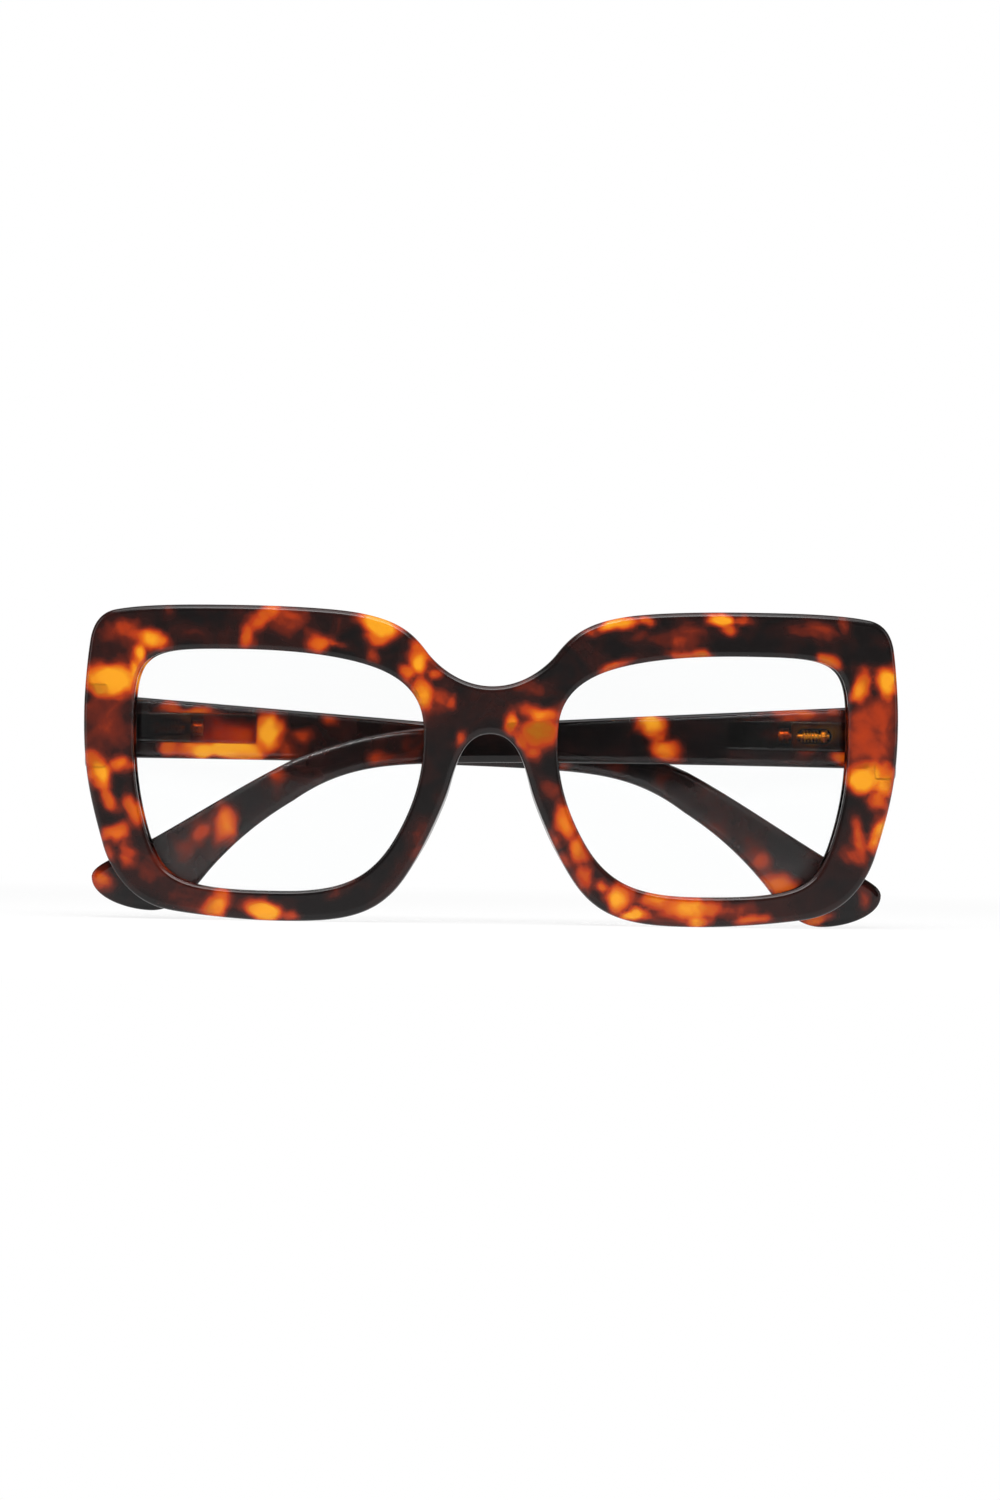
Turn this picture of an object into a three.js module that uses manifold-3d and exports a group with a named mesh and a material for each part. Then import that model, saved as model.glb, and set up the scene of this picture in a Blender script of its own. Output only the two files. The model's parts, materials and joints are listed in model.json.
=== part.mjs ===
// Folding reading glasses: a bent full-rim front with moulded nose pads, two domed lenses and two
// sprung temples folded behind it. Millimetres; +X to the viewer's right, +Y away from the viewer
// (towards the wearer), +Z up. left_* belongs to the temple hinged at +X, right_* to the one at -X.
import * as THREE from "three";
import { mergeVertices } from "three/addons/utils/BufferGeometryUtils.js";
import Module from "manifold-3d";

const wasm = await Module();
wasm.setup();

// Front
const FRONT_WIDTH = 144.9;
const FRONT_HEIGHT = 55.85;
const FRONT_THICKNESS = 4.5;
const FRONT_BEND_RADIUS = 400;
const FRONT_EDGE_ROUND = 0.6;
const FRONT_STEPS = 7;

// The size that the outlines below are drawn at; fitFront brings them to the size above.
const DRAWN_WIDTH = 144.9;
const DRAWN_HEIGHT = 55.85;

// Lens and its groove
const DRAWN_LENS_CENTRE = [37.7, 26.7];
const LENS_THICKNESS = 1.8;
const LENS_DOME = 1.6;
const LENS_LIP = 0.6;
const LENS_PLANE = 2.2;
const LENS_RINGS = [1, 0.8, 0.5];
const GROOVE_CLEARANCE = 0.25;
const OPENING_STEPS = 8;

// Nose pads, moulded on the back of the rims
const DRAWN_PAD_CENTRE = [10.6, 19.5];
const PAD_RADII = new THREE.Vector3(1.9, 4.0, 9.2);
const PAD_LEAN_DEG = 21;
const PAD_SINK = 0.1;
const PAD_FACETS = [14, 10];
const PAD_TRIM = 0.2;

// Hinge: pin, barrels and screw
const PIN_INBOARD = 3.35;
const PIN_X = FRONT_WIDTH / 2 - PIN_INBOARD;
const HINGE_BELOW_TOP = 21.8;
const HINGE_HEIGHT = FRONT_HEIGHT - HINGE_BELOW_TOP;
const BARREL_RADIUS = 2.0;
const BARREL_HEIGHT = 2.15;
const BARREL_GAP = 0.15;
const PIN_RADIUS = 0.6;
const PIN_CLEARANCE = 0.16;
const SCREW_HEAD_RADIUS = 1.5;
const SCREW_HEAD_HEIGHT = 0.6;
const SLOT_WIDTH = 0.4;
const SLOT_DEPTH = 0.3;
const SCREW_HEAD_GAP = 0.1;

// Hinge anchor on the front
const ANCHOR_WEB = 2.0;
const ANCHOR_GAP = 0.35;
const ANCHOR_PLATE_THICKNESS = 0.8;
const ANCHOR_PLATE_INBOARD = 3.6;
const ANCHOR_PLATE_OUTBOARD = 1.2;

// End lug of the front
const LUG_INBOARD = 0.7;
const LUG_HEIGHT = 15;
const LUG_NOTCH_CLEARANCE = 0.25;
const LUG_NOTCH_GAP = 0.2;
const LUG_CORNER = 3.3;
const LUG_CORNER_SHIFT = 0.2;
const LUG_CORNER_WIDTH = 14.6;

// Temple: its outline is drawn along the arm from the pin, with heights from the hinge's middle.
const TEMPLE_START = 1.7;
const TEMPLE_LENGTH = 139.7;
const DRAWN_LENGTH = 139.7;
const TEMPLE_THICKNESS = 4.6;
const TEMPLE_TIP_THICKNESS = 3.0;
const TEMPLE_TAPER_FROM = 30;
const TEMPLE_TAPER_TO = 80;
const TEMPLE_EDGE_ROUND = 0.8;
const TEMPLE_STEPS = 8;
const TEMPLE_PROUD = 0.05;
const PIN_INSET = TEMPLE_THICKNESS + TEMPLE_PROUD - PIN_INBOARD;
const TEMPLE_BEHIND_FRONT = 2.9;
const END_GAP = 0.3;
const TEMPLE_NOTCH_MARGIN = 0.5;

// Pocket in the temple's inner face, with its cover, slider, spring and guide screw
const POCKET_HEIGHT = 5.4;
const POCKET_WALL = 0.7;
const POCKET_DEPTH = TEMPLE_THICKNESS - POCKET_WALL;
const POCKET_END = 17.9;
const COVER_START = 3.0;
const COVER_END = 27.2;
const COVER_THICKNESS = 0.7;
const FIT = 0.15;
const SLIDER_HEIGHT = 4.6;
const SLIDER_END = 15.5;
const SLIDER_CLEARANCE = 0.25;
const WINDOW_START = 8.2;
const WINDOW_END = 14.6;
const WINDOW_HEIGHT = 2.9;
const WINDOW_FACETS = 6;
const WEB_INSET = 0.3;
const ROD_RADIUS = 0.55;
const ROD_START = 8.7;
const COLLAR_OVERLAP = 0.5;
const COLLAR_RADIUS = 1.4;
const COLLAR_LENGTH = 1.8;
const THREAD_RADIUS = 0.7;
const THREAD_LENGTH = 3.7;
const NUT_ACROSS = 2.2;
const NUT_THICKNESS = 1.1;
const NUT_START = 9.1;
const SPRING_RADIUS = 0.95;
const SPRING_WIRE = 0.17;
const SPRING_COILS = 5.5;
const SPRING_END_GAP = 0.1;
const SPRING_FACETS = 6;
const SPRING_STEPS_PER_COIL = 10;

// Folded pose and opening
const LEFT_FOLD_DEG = -1.2;
const STACK_GAP = 0.8;
const BEND_AT = 105.1;
const OPEN_SPLAY_DEG = 4.8;
const TEMPLE_TILT_DEG = 0.3;

const FACETS = 16;

// Cuts run this far past the faces that they open; joined bodies reach this far into each other.
const OVERCUT = 1;
const OVERLAP = 0.2;
const MERGE = 1e-4;

const rad = THREE.MathUtils.degToRad;

// Half outline of the front, as cubic curves from the top centre round to the nose arch.
const OUTLINE_START = [0, 42.1];
const OUTLINE = [
  [[7.2, 42.1], [11.5, 47.9], [11.5, 47.9]],
  [[14.2, 51.5], [17.1, 53.8], [24.8, 54.9]],
  [[30.0, 55.6], [38.8, 55.85], [46.0, 55.85]],
  [[53.6, 55.85], [61.4, 55.8], [66.4, 54.9]],
  [[67.9, 54.7], [70.5, 54.1], [71.4, 50.0]],
  [[71.8, 47.8], [72.45, 41.4], [72.45, 36.3]],
  [[72.45, 27.7], [71.7, 22.9], [68.8, 13.3]],
  [[68.4, 11.8], [65.8, 3.4], [57.1, 1.7]],
  [[54.3, 1.1], [44.2, 0], [37.0, 0]],
  [[26.8, 0], [20.8, 0.7], [16.1, 6.4]],
  [[12.5, 10.8], [8.5, 20.4], [7.6, 23.1]],
  [[6.3, 26.9], [5.3, 33.65], [0, 33.65]],
];

// Lens opening on the +X side, as cubic curves clockwise from the top.
const OPENING_START = [45.0, 48.0];
const OPENING = [
  [[61.4, 48.0], [63.5, 47.8], [63.5, 35.5]],
  [[63.5, 30.2], [63.6, 23.9], [60.9, 15.3]],
  [[58.2, 6.9], [55.2, 5.3], [37.5, 5.3]],
  [[26.6, 5.3], [21.0, 7.2], [16.5, 15.3]],
  [[11.9, 23.5], [11.9, 29.9], [11.9, 33.2]],
  [[11.9, 35.9], [11.9, 41.2], [19.0, 44.4]],
  [[24.3, 46.8], [33.7, 48.0], [45.0, 48.0]],
];

// Temple profile, from the top of its front end round the tip and back along the bottom.
const ARM_TOP = 5.55;
const ARM_BOTTOM = -5.6;
const ARM = [
  [[30, 3.65], [50, 2.45], [66, 1.35]],
  [[84, 0.15], [92, -0.85], [104.5, -6.15]],
  [[112, -10.05], [119, -14.65], [128, -20.05]],
  [[134.5, -23.85], [DRAWN_LENGTH, -25.25], [DRAWN_LENGTH, -27.6]],
  [[DRAWN_LENGTH, -31.2], [133.5, -33.35], [129, -33.38]],
  [[124.5, -33.4], [121.5, -29.6], [119, -26.3]],
  [[114, -20.3], [109, -16.4], [104, -13.3]],
  [[96, -7.45], [89, -6.75], [80, -6.25]],
  [[65, -5.45], [35, -5.45], [TEMPLE_START, ARM_BOTTOM]],
];

// The bend about a vertical cylinder behind the front: flat (x, y) to bent (x, y).
function bendPoint(x, y) {
  const sine = x / FRONT_BEND_RADIUS;
  const reach = FRONT_BEND_RADIUS - y;
  return [reach * sine, FRONT_BEND_RADIUS - reach * Math.sqrt(1 - sine * sine)];
}

// Y of the front's back face where its bent half-width is x.
function backAt(x) {
  const reach = FRONT_BEND_RADIUS - FRONT_THICKNESS;
  return FRONT_BEND_RADIUS - Math.sqrt(reach * reach - x * x);
}

// Brings drawn (x, z) points of the front to its real width and height.
function fitFront(point) {
  return [(point[0] * FRONT_WIDTH) / DRAWN_WIDTH, (point[1] * FRONT_HEIGHT) / DRAWN_HEIGHT];
}

const LENS_CENTRE = new THREE.Vector2(...fitFront(DRAWN_LENS_CENTRE));
const PAD_CENTRE = new THREE.Vector2(...fitFront(DRAWN_PAD_CENTRE));
const BACK_AT_PIN = backAt(PIN_X);
const PIN_Y = BACK_AT_PIN + TEMPLE_BEHIND_FRONT + PIN_INSET;

function solid(geometry) {
  const plain = geometry.index ? geometry.toNonIndexed() : geometry.clone();
  plain.deleteAttribute("normal");
  plain.deleteAttribute("uv");
  const merged = mergeVertices(plain, MERGE);
  return new wasm.Manifold(
    new wasm.Mesh({
      numProp: 3,
      vertProperties: new Float32Array(merged.attributes.position.array),
      triVerts: new Uint32Array(merged.index.array),
    }),
  );
}

function geometryOf(body) {
  const mesh = body.getMesh();
  const geometry = new THREE.BufferGeometry();
  const positions = new Float32Array(mesh.vertProperties);
  geometry.setAttribute("position", new THREE.BufferAttribute(positions, 3));
  geometry.setIndex(new THREE.BufferAttribute(new Uint32Array(mesh.triVerts), 1));
  return geometry;
}

// Moves each vertex of a geometry by a function of its place.
function remap(geometry, place) {
  const position = geometry.attributes.position;
  for (let i = 0; i < position.count; i += 1) {
    const [x, y, z] = place(position.getX(i), position.getY(i), position.getZ(i));
    position.setXYZ(i, x, y, z);
  }
  return geometry;
}

function flipFaces(geometry) {
  const index = geometry.index.array;
  for (let i = 0; i < index.length; i += 3) {
    const second = index[i + 1];
    index[i + 1] = index[i + 2];
    index[i + 2] = second;
  }
  return geometry;
}

// A mirror image across X = 0.
function mirrored(geometry) {
  return flipFaces(remap(geometry.clone(), (x, y, z) => [-x, y, z]));
}

function box(low, high) {
  const size = high.map((value, i) => value - low[i]);
  const geometry = new THREE.BoxGeometry(size[0], size[1], size[2]);
  geometry.translate(low[0] + size[0] / 2, low[1] + size[1] / 2, low[2] + size[2] / 2);
  return geometry;
}

// A cylinder along X or Z between two ends.
function rod(axis, radius, from, to, centre, facets = FACETS) {
  const geometry = new THREE.CylinderGeometry(radius, radius, to - from, facets);
  if (axis === "x") {
    geometry.rotateZ(-Math.PI / 2);
    geometry.translate((from + to) / 2, centre[0], centre[1]);
  } else {
    geometry.rotateX(Math.PI / 2);
    geometry.translate(centre[0], centre[1], (from + to) / 2);
  }
  return geometry;
}

function pathPoints(start, segments, steps) {
  const path = new THREE.Path();
  path.moveTo(start[0], start[1]);
  for (const [a, b, c] of segments) {
    path.bezierCurveTo(a[0], a[1], b[0], b[1], c[0], c[1]);
  }
  return path.curves.flatMap((curve, i) =>
    curve.getPoints(steps).slice(i === 0 ? 0 : 1),
  );
}

// A closed outline moved outwards by a distance, along the normals of its points.
function offset(points, distance) {
  const clockwise = THREE.ShapeUtils.area(points) < 0 ? 1 : -1;
  return points.map((point, i) => {
    const before = points[(i + points.length - 1) % points.length];
    const after = points[(i + 1) % points.length];
    const along = after.clone().sub(before).normalize();
    return new THREE.Vector2(
      point.x - along.y * distance * clockwise,
      point.y + along.x * distance * clockwise,
    );
  });
}

// Extrudes an outline drawn in (x, z) along +Y, from y = low to y = high, with rounded edges.
function slab(points, holes, low, high, round) {
  const clockwise = THREE.ShapeUtils.isClockWise(points);
  const shape = new THREE.Shape(clockwise ? [...points].reverse() : points);
  shape.holes = holes.map((hole) => new THREE.Path(hole));
  const geometry = new THREE.ExtrudeGeometry(shape, {
    depth: high - low - 2 * round,
    bevelEnabled: round > 0,
    bevelThickness: round,
    bevelSize: round,
    bevelOffset: -round,
    bevelSegments: 1,
    steps: 1,
  });
  // The outline's y turns up to +Z and its depth runs along -Y, from high down to low.
  geometry.rotateX(Math.PI / 2);
  geometry.translate(0, high - round, 0);
  return geometry;
}

const group = new THREE.Group();
const meshes = [];

function addPiece(name, geometry, material) {
  const piece = new THREE.Mesh(geometry, new THREE.MeshStandardMaterial(material));
  piece.name = name;
  meshes.push(piece);
  group.add(piece);
}

const TORTOISE = { color: 0x3a1a10, roughness: 0.25, metalness: 0 };
const DARK_METAL = { color: 0x2b2a2a, roughness: 0.4, metalness: 0.9 };
const STEEL = { color: 0x9a9a9c, roughness: 0.3, metalness: 1 };
const CLEAR = { color: 0xf4f8fa, roughness: 0.03, metalness: 0, transparent: true, opacity: 0.15 };

// Front frame --------------------------------------------------------------------------------

const fitted = (segments) => segments.map((segment) => segment.map(fitFront));
const halfOutline = pathPoints(fitFront(OUTLINE_START), fitted(OUTLINE), FRONT_STEPS);
const mirroredHalf = halfOutline
  .slice(1, -1)
  .reverse()
  .map((point) => new THREE.Vector2(-point.x, point.y));
const frontOutline = [...halfOutline, ...mirroredHalf];
const opening = pathPoints(
  fitFront(OPENING_START),
  fitted(OPENING),
  OPENING_STEPS,
).slice(0, -1);
const mirrorX = (points) =>
  points.map((point) => new THREE.Vector2(-point.x, point.y)).reverse();

function frontSlab() {
  const holes = [opening, mirrorX(opening)];
  let body = solid(slab(frontOutline, holes, 0, FRONT_THICKNESS, FRONT_EDGE_ROUND));
  const grooveHalf = LENS_THICKNESS / 2 + GROOVE_CLEARANCE;
  const groove = offset(opening, LENS_LIP + GROOVE_CLEARANCE);
  for (const outline of [groove, mirrorX(groove)]) {
    const cut = slab(outline, [], LENS_PLANE - grooveHalf, LENS_PLANE + grooveHalf, 0);
    body = body.subtract(solid(cut));
  }
  return remap(geometryOf(body), (x, y, z) => {
    const [bentX, bentY] = bendPoint(x, y);
    return [bentX, bentY, z];
  });
}

function nosePad() {
  const pad = new THREE.SphereGeometry(1, ...PAD_FACETS);
  pad.scale(PAD_RADII.x, PAD_RADII.y, PAD_RADII.z);
  pad.rotateY(-rad(PAD_LEAN_DEG));
  pad.translate(PAD_CENTRE.x, FRONT_THICKNESS - PAD_SINK, PAD_CENTRE.y);
  return pad;
}

// The lug's rear face stands square to the opened temple, END_GAP short of the temple's end.
function lug() {
  const splay = rad(OPEN_SPLAY_DEG);
  const reach = TEMPLE_START - END_GAP;
  const inner = PIN_X - LUG_INBOARD;
  const outer = FRONT_WIDTH / 2;
  const rear = (x) => PIN_Y + reach / Math.cos(splay) - (x - PIN_X) * Math.tan(splay);
  const low = HINGE_HEIGHT - LUG_HEIGHT / 2;
  const high = HINGE_HEIGHT + LUG_HEIGHT / 2;
  const root = BACK_AT_PIN - FRONT_THICKNESS / 2;
  const block = new THREE.BoxGeometry(1, 1, 1);
  block.translate(0.5, 0.5, 0.5);
  remap(block, (x, y, z) => {
    const px = inner + (outer - inner) * x;
    return [px, root + (rear(px) - root) * y, low + (high - low) * z];
  });
  let body = solid(block);
  const notchHalf = (3 * BARREL_HEIGHT + 2 * BARREL_GAP) / 2 + SCREW_HEAD_HEIGHT + BARREL_GAP;
  const notch = box(
    [inner - OVERCUT, BACK_AT_PIN + LUG_NOTCH_GAP, HINGE_HEIGHT - notchHalf],
    [PIN_X + BARREL_RADIUS + LUG_NOTCH_CLEARANCE, PIN_Y + 2 * reach, HINGE_HEIGHT + notchHalf],
  );
  body = body.subtract(solid(notch));
  // The lug's top and bottom rear edges are cut back at 45 degrees.
  for (const [edge, sign] of [[high, 1], [low, -1]]) {
    const wedge = new THREE.BoxGeometry(LUG_CORNER_WIDTH, LUG_CORNER, LUG_CORNER);
    wedge.rotateX(Math.PI / 4);
    wedge.translate(PIN_X, PIN_Y + reach, edge + sign * LUG_CORNER_SHIFT);
    body = body.subtract(solid(wedge));
  }
  return body;
}

let front = solid(frontSlab());
const pad = nosePad();
const lugBody = lug();
front = front.add(solid(pad)).add(solid(mirrored(indexed(pad))));
front = front.add(lugBody).add(solid(mirrored(geometryOf(lugBody))));
for (const hole of [opening, mirrorX(opening)]) {
  // Nothing moulded on the back reaches over the lens opening.
  const clear = slab(hole, [], FRONT_THICKNESS - PAD_TRIM, FRONT_THICKNESS + 2 * PAD_RADII.y, 0);
  front = front.subtract(solid(clear));
}
addPiece("front_frame", geometryOf(front), TORTOISE);

function indexed(geometry) {
  const plain = geometry.clone();
  plain.deleteAttribute("normal");
  plain.deleteAttribute("uv");
  return mergeVertices(plain, MERGE);
}

// Lenses ---------------------------------------------------------------------------------------

// Rings of the lens outline, shrinking to its centre, on a domed front and back face.
function lens() {
  const edge = offset(opening, LENS_LIP);
  const count = edge.length;
  const vertices = [];
  const faces = [];
  for (const side of [-1, 1]) {
    for (const ring of LENS_RINGS) {
      for (const point of edge) {
        const x = LENS_CENTRE.x + (point.x - LENS_CENTRE.x) * ring;
        const z = LENS_CENTRE.y + (point.y - LENS_CENTRE.y) * ring;
        const rise = LENS_DOME * (1 - ring * ring);
        vertices.push([x, LENS_PLANE - rise + (side * LENS_THICKNESS) / 2, z]);
      }
    }
    const middle = LENS_PLANE - LENS_DOME + (side * LENS_THICKNESS) / 2;
    vertices.push([LENS_CENTRE.x, middle, LENS_CENTRE.y]);
  }
  const sheet = LENS_RINGS.length * count + 1;
  const at = (side, ring, i) => side * sheet + ring * count + (i % count);
  for (let i = 0; i < count; i += 1) {
    for (let ring = 0; ring + 1 < LENS_RINGS.length; ring += 1) {
      faces.push([at(0, ring, i), at(0, ring + 1, i), at(0, ring, i + 1)]);
      faces.push([at(0, ring, i + 1), at(0, ring + 1, i), at(0, ring + 1, i + 1)]);
      faces.push([at(1, ring, i), at(1, ring, i + 1), at(1, ring + 1, i)]);
      faces.push([at(1, ring, i + 1), at(1, ring + 1, i + 1), at(1, ring + 1, i)]);
    }
    const last = LENS_RINGS.length - 1;
    faces.push([at(0, last, i), sheet - 1, at(0, last, i + 1)]);
    faces.push([at(1, last, i), at(1, last, i + 1), 2 * sheet - 1]);
    faces.push([at(0, 0, i), at(0, 0, i + 1), at(1, 0, i)]);
    faces.push([at(0, 0, i + 1), at(1, 0, i + 1), at(1, 0, i)]);
  }
  const geometry = new THREE.BufferGeometry();
  const positions = new Float32Array(vertices.flat());
  geometry.setAttribute("position", new THREE.BufferAttribute(positions, 3));
  geometry.setIndex(faces.flat());
  return remap(geometry, (x, y, z) => {
    const [bentX, bentY] = bendPoint(x, y);
    return [bentX, bentY, z];
  });
}

function facingOut(geometry) {
  return solid(geometry).volume() < 0 ? flipFaces(geometry) : geometry;
}

const lensGeometry = facingOut(lens());
addPiece("left_lens", lensGeometry, CLEAR);
addPiece("right_lens", mirrored(lensGeometry), CLEAR);

// Hinge anchor and screw, on the front at +X ---------------------------------------------------

const hingeLow = HINGE_HEIGHT - (3 * BARREL_HEIGHT + 2 * BARREL_GAP) / 2;
const barrelLow = (index) => hingeLow + index * (BARREL_HEIGHT + BARREL_GAP);
const hingeHigh = barrelLow(2) + BARREL_HEIGHT;
const PIN = [PIN_X, PIN_Y];

function hingeAnchor() {
  const low = barrelLow(1);
  const high = low + BARREL_HEIGHT;
  const plateFront = BACK_AT_PIN + ANCHOR_GAP;
  const plateBack = plateFront + ANCHOR_PLATE_THICKNESS;
  const plate = box(
    [PIN_X - ANCHOR_PLATE_INBOARD, plateFront, hingeLow],
    [PIN_X + ANCHOR_PLATE_OUTBOARD, plateBack, hingeHigh],
  );
  const web = box(
    [PIN_X - ANCHOR_WEB / 2, plateBack - ANCHOR_PLATE_THICKNESS / 2, low],
    [PIN_X + ANCHOR_WEB / 2, PIN_Y, high],
  );
  const hole = rod("z", PIN_RADIUS + PIN_CLEARANCE, low - OVERCUT, high + OVERCUT, PIN);
  return solid(rod("z", BARREL_RADIUS, low, high, PIN))
    .add(solid(web))
    .add(solid(plate))
    .subtract(solid(hole));
}

function hingeScrew() {
  const seat = hingeHigh + SCREW_HEAD_GAP;
  const top = seat + SCREW_HEAD_HEIGHT;
  const head = rod("z", SCREW_HEAD_RADIUS, seat, top, PIN);
  const shaft = rod("z", PIN_RADIUS, hingeLow, seat + SCREW_HEAD_GAP, PIN);
  const slot = box(
    [PIN_X - SLOT_WIDTH / 2, PIN_Y - 2 * SCREW_HEAD_RADIUS, top - SLOT_DEPTH],
    [PIN_X + SLOT_WIDTH / 2, PIN_Y + 2 * SCREW_HEAD_RADIUS, top + OVERCUT],
  );
  return solid(head).add(solid(shaft)).subtract(solid(slot));
}

const anchor = geometryOf(hingeAnchor());
const hingeScrewGeometry = geometryOf(hingeScrew());

// Temple parts in the arm's own frame: X along the arm from the pin, Y from the inner face
// outwards, Z up ---------------------------------------------------------------------------------

const SLIDE_DEPTH = (COVER_THICKNESS + POCKET_DEPTH) / 2;
const SLIDE_AXIS = [SLIDE_DEPTH, HINGE_HEIGHT];
const HINGE_PIN = [0, PIN_INSET];

function armOutline() {
  const points = pathPoints([TEMPLE_START, ARM_TOP], ARM, TEMPLE_STEPS);
  const scale = (TEMPLE_LENGTH - TEMPLE_START) / (DRAWN_LENGTH - TEMPLE_START);
  return points.map(
    (point) =>
      new THREE.Vector2(
        TEMPLE_START + (point.x - TEMPLE_START) * scale,
        HINGE_HEIGHT + point.y,
      ),
  );
}

function thicknessAt(x) {
  const share = THREE.MathUtils.clamp(
    (x - TEMPLE_TAPER_FROM) / (TEMPLE_TAPER_TO - TEMPLE_TAPER_FROM),
    0,
    1,
  );
  return TEMPLE_THICKNESS + (TEMPLE_TIP_THICKNESS - TEMPLE_THICKNESS) * share;
}

function temple() {
  const blank = slab(armOutline(), [], 0, TEMPLE_THICKNESS, TEMPLE_EDGE_ROUND);
  let body = solid(
    remap(indexed(blank), (x, y, z) => [x, (y * thicknessAt(x)) / TEMPLE_THICKNESS, z]),
  );
  const half = POCKET_HEIGHT / 2;
  const low = HINGE_HEIGHT - half;
  const high = HINGE_HEIGHT + half;
  const notchHalf = (hingeHigh - hingeLow) / 2 + SCREW_HEAD_HEIGHT + 2 * BARREL_GAP;
  const notchEnd = BARREL_RADIUS + END_GAP + TEMPLE_NOTCH_MARGIN;
  const notchDepth = PIN_INSET + BARREL_RADIUS + END_GAP;
  const shaft = THREAD_RADIUS + FIT;
  const cuts = [
    box([0, -OVERCUT, low], [POCKET_END, POCKET_DEPTH, high]),
    box([0, -OVERCUT, low], [COVER_END + FIT, COVER_THICKNESS + FIT, high]),
    box(
      [0, -OVERCUT, HINGE_HEIGHT - notchHalf],
      [notchEnd, notchDepth, HINGE_HEIGHT + notchHalf],
    ),
    rod("x", shaft, POCKET_END - OVERCUT, POCKET_END + THREAD_LENGTH, SLIDE_AXIS),
  ];
  for (const cut of cuts) {
    body = body.subtract(solid(cut));
  }
  return body;
}

function cover() {
  const half = POCKET_HEIGHT / 2 - FIT;
  return box(
    [COVER_START, 0, HINGE_HEIGHT - half],
    [COVER_END, COVER_THICKNESS, HINGE_HEIGHT + half],
  );
}

function slider() {
  const low = COVER_THICKNESS + SLIDER_CLEARANCE;
  const high = POCKET_DEPTH - SLIDER_CLEARANCE;
  const half = SLIDER_HEIGHT / 2;
  const tongueStart = BARREL_RADIUS + 2 * BARREL_GAP;
  let body = solid(
    box(
      [tongueStart, low, HINGE_HEIGHT - half],
      [SLIDER_END, high, HINGE_HEIGHT + half],
    ),
  );
  for (const index of [0, 2]) {
    const bottom = barrelLow(index);
    const top = bottom + BARREL_HEIGHT;
    const web = box(
      [0, low - OVERLAP, bottom],
      [tongueStart + OVERLAP, high - WEB_INSET, top],
    );
    body = body.add(solid(rod("z", BARREL_RADIUS, bottom, top, HINGE_PIN))).add(solid(web));
  }
  const window = WINDOW_HEIGHT / 2;
  const centreAt = (along) => new THREE.Vector2(along, HINGE_HEIGHT);
  const slot = [];
  for (const [middle, turn] of [[WINDOW_END - window, -90], [WINDOW_START + window, 90]]) {
    for (let i = 0; i <= WINDOW_FACETS; i += 1) {
      const angle = rad(turn + (i * 180) / WINDOW_FACETS);
      const spoke = new THREE.Vector2(Math.cos(angle), Math.sin(angle)).multiplyScalar(window);
      slot.push(centreAt(middle).add(spoke));
    }
  }
  const pinHole = PIN_RADIUS + PIN_CLEARANCE;
  const rodHole = ROD_RADIUS + FIT;
  return body
    .subtract(solid(slab(slot, [], -OVERCUT, TEMPLE_THICKNESS + OVERCUT, 0)))
    .subtract(solid(rod("z", pinHole, hingeLow - OVERCUT, hingeHigh + OVERCUT, HINGE_PIN)))
    .subtract(solid(rod("x", rodHole, WINDOW_END - OVERCUT, SLIDER_END + OVERCUT, SLIDE_AXIS)));
}

function guideScrew() {
  const collarStart = POCKET_END - COLLAR_LENGTH - FIT;
  const collarEnd = collarStart + COLLAR_LENGTH;
  const threadEnd = POCKET_END + THREAD_LENGTH - FIT;
  return solid(rod("x", ROD_RADIUS, ROD_START, collarStart + COLLAR_OVERLAP, SLIDE_AXIS))
    .add(solid(rod("x", COLLAR_RADIUS, collarStart, collarEnd, SLIDE_AXIS)))
    .add(solid(rod("x", THREAD_RADIUS, collarEnd - COLLAR_OVERLAP, threadEnd, SLIDE_AXIS)));
}

function springNut() {
  const end = NUT_START + NUT_THICKNESS;
  const hex = rod("x", NUT_ACROSS / Math.sqrt(3), NUT_START, end, SLIDE_AXIS, 6);
  const hole = rod("x", ROD_RADIUS + FIT, NUT_START - OVERCUT, end + OVERCUT, SLIDE_AXIS);
  return solid(hex).subtract(solid(hole));
}

// The coil spring runs from the nut to the round end of the slider's window.
function spring() {
  const window = WINDOW_HEIGHT / 2;
  const outer = SPRING_RADIUS + SPRING_WIRE;
  const seat = WINDOW_END - window + Math.sqrt(window * window - outer * outer);
  const from = NUT_START + NUT_THICKNESS + SPRING_WIRE + SPRING_END_GAP;
  const to = seat - SPRING_WIRE - SPRING_END_GAP;
  class Helix extends THREE.Curve {
    getPoint(t) {
      const angle = t * SPRING_COILS * 2 * Math.PI;
      return new THREE.Vector3(
        from + (to - from) * t,
        SLIDE_AXIS[0] + SPRING_RADIUS * Math.cos(angle),
        SLIDE_AXIS[1] + SPRING_RADIUS * Math.sin(angle),
      );
    }
  }
  const wire = new THREE.Shape();
  for (let i = 0; i < SPRING_FACETS; i += 1) {
    const angle = (i * 2 * Math.PI) / SPRING_FACETS;
    const x = SPRING_WIRE * Math.cos(angle);
    const y = SPRING_WIRE * Math.sin(angle);
    if (i === 0) {
      wire.moveTo(x, y);
    } else {
      wire.lineTo(x, y);
    }
  }
  return new THREE.ExtrudeGeometry(wire, {
    steps: Math.round(SPRING_COILS * SPRING_STEPS_PER_COIL),
    bevelEnabled: false,
    extrudePath: new Helix(),
  });
}

// Sides ------------------------------------------------------------------------------------------

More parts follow.
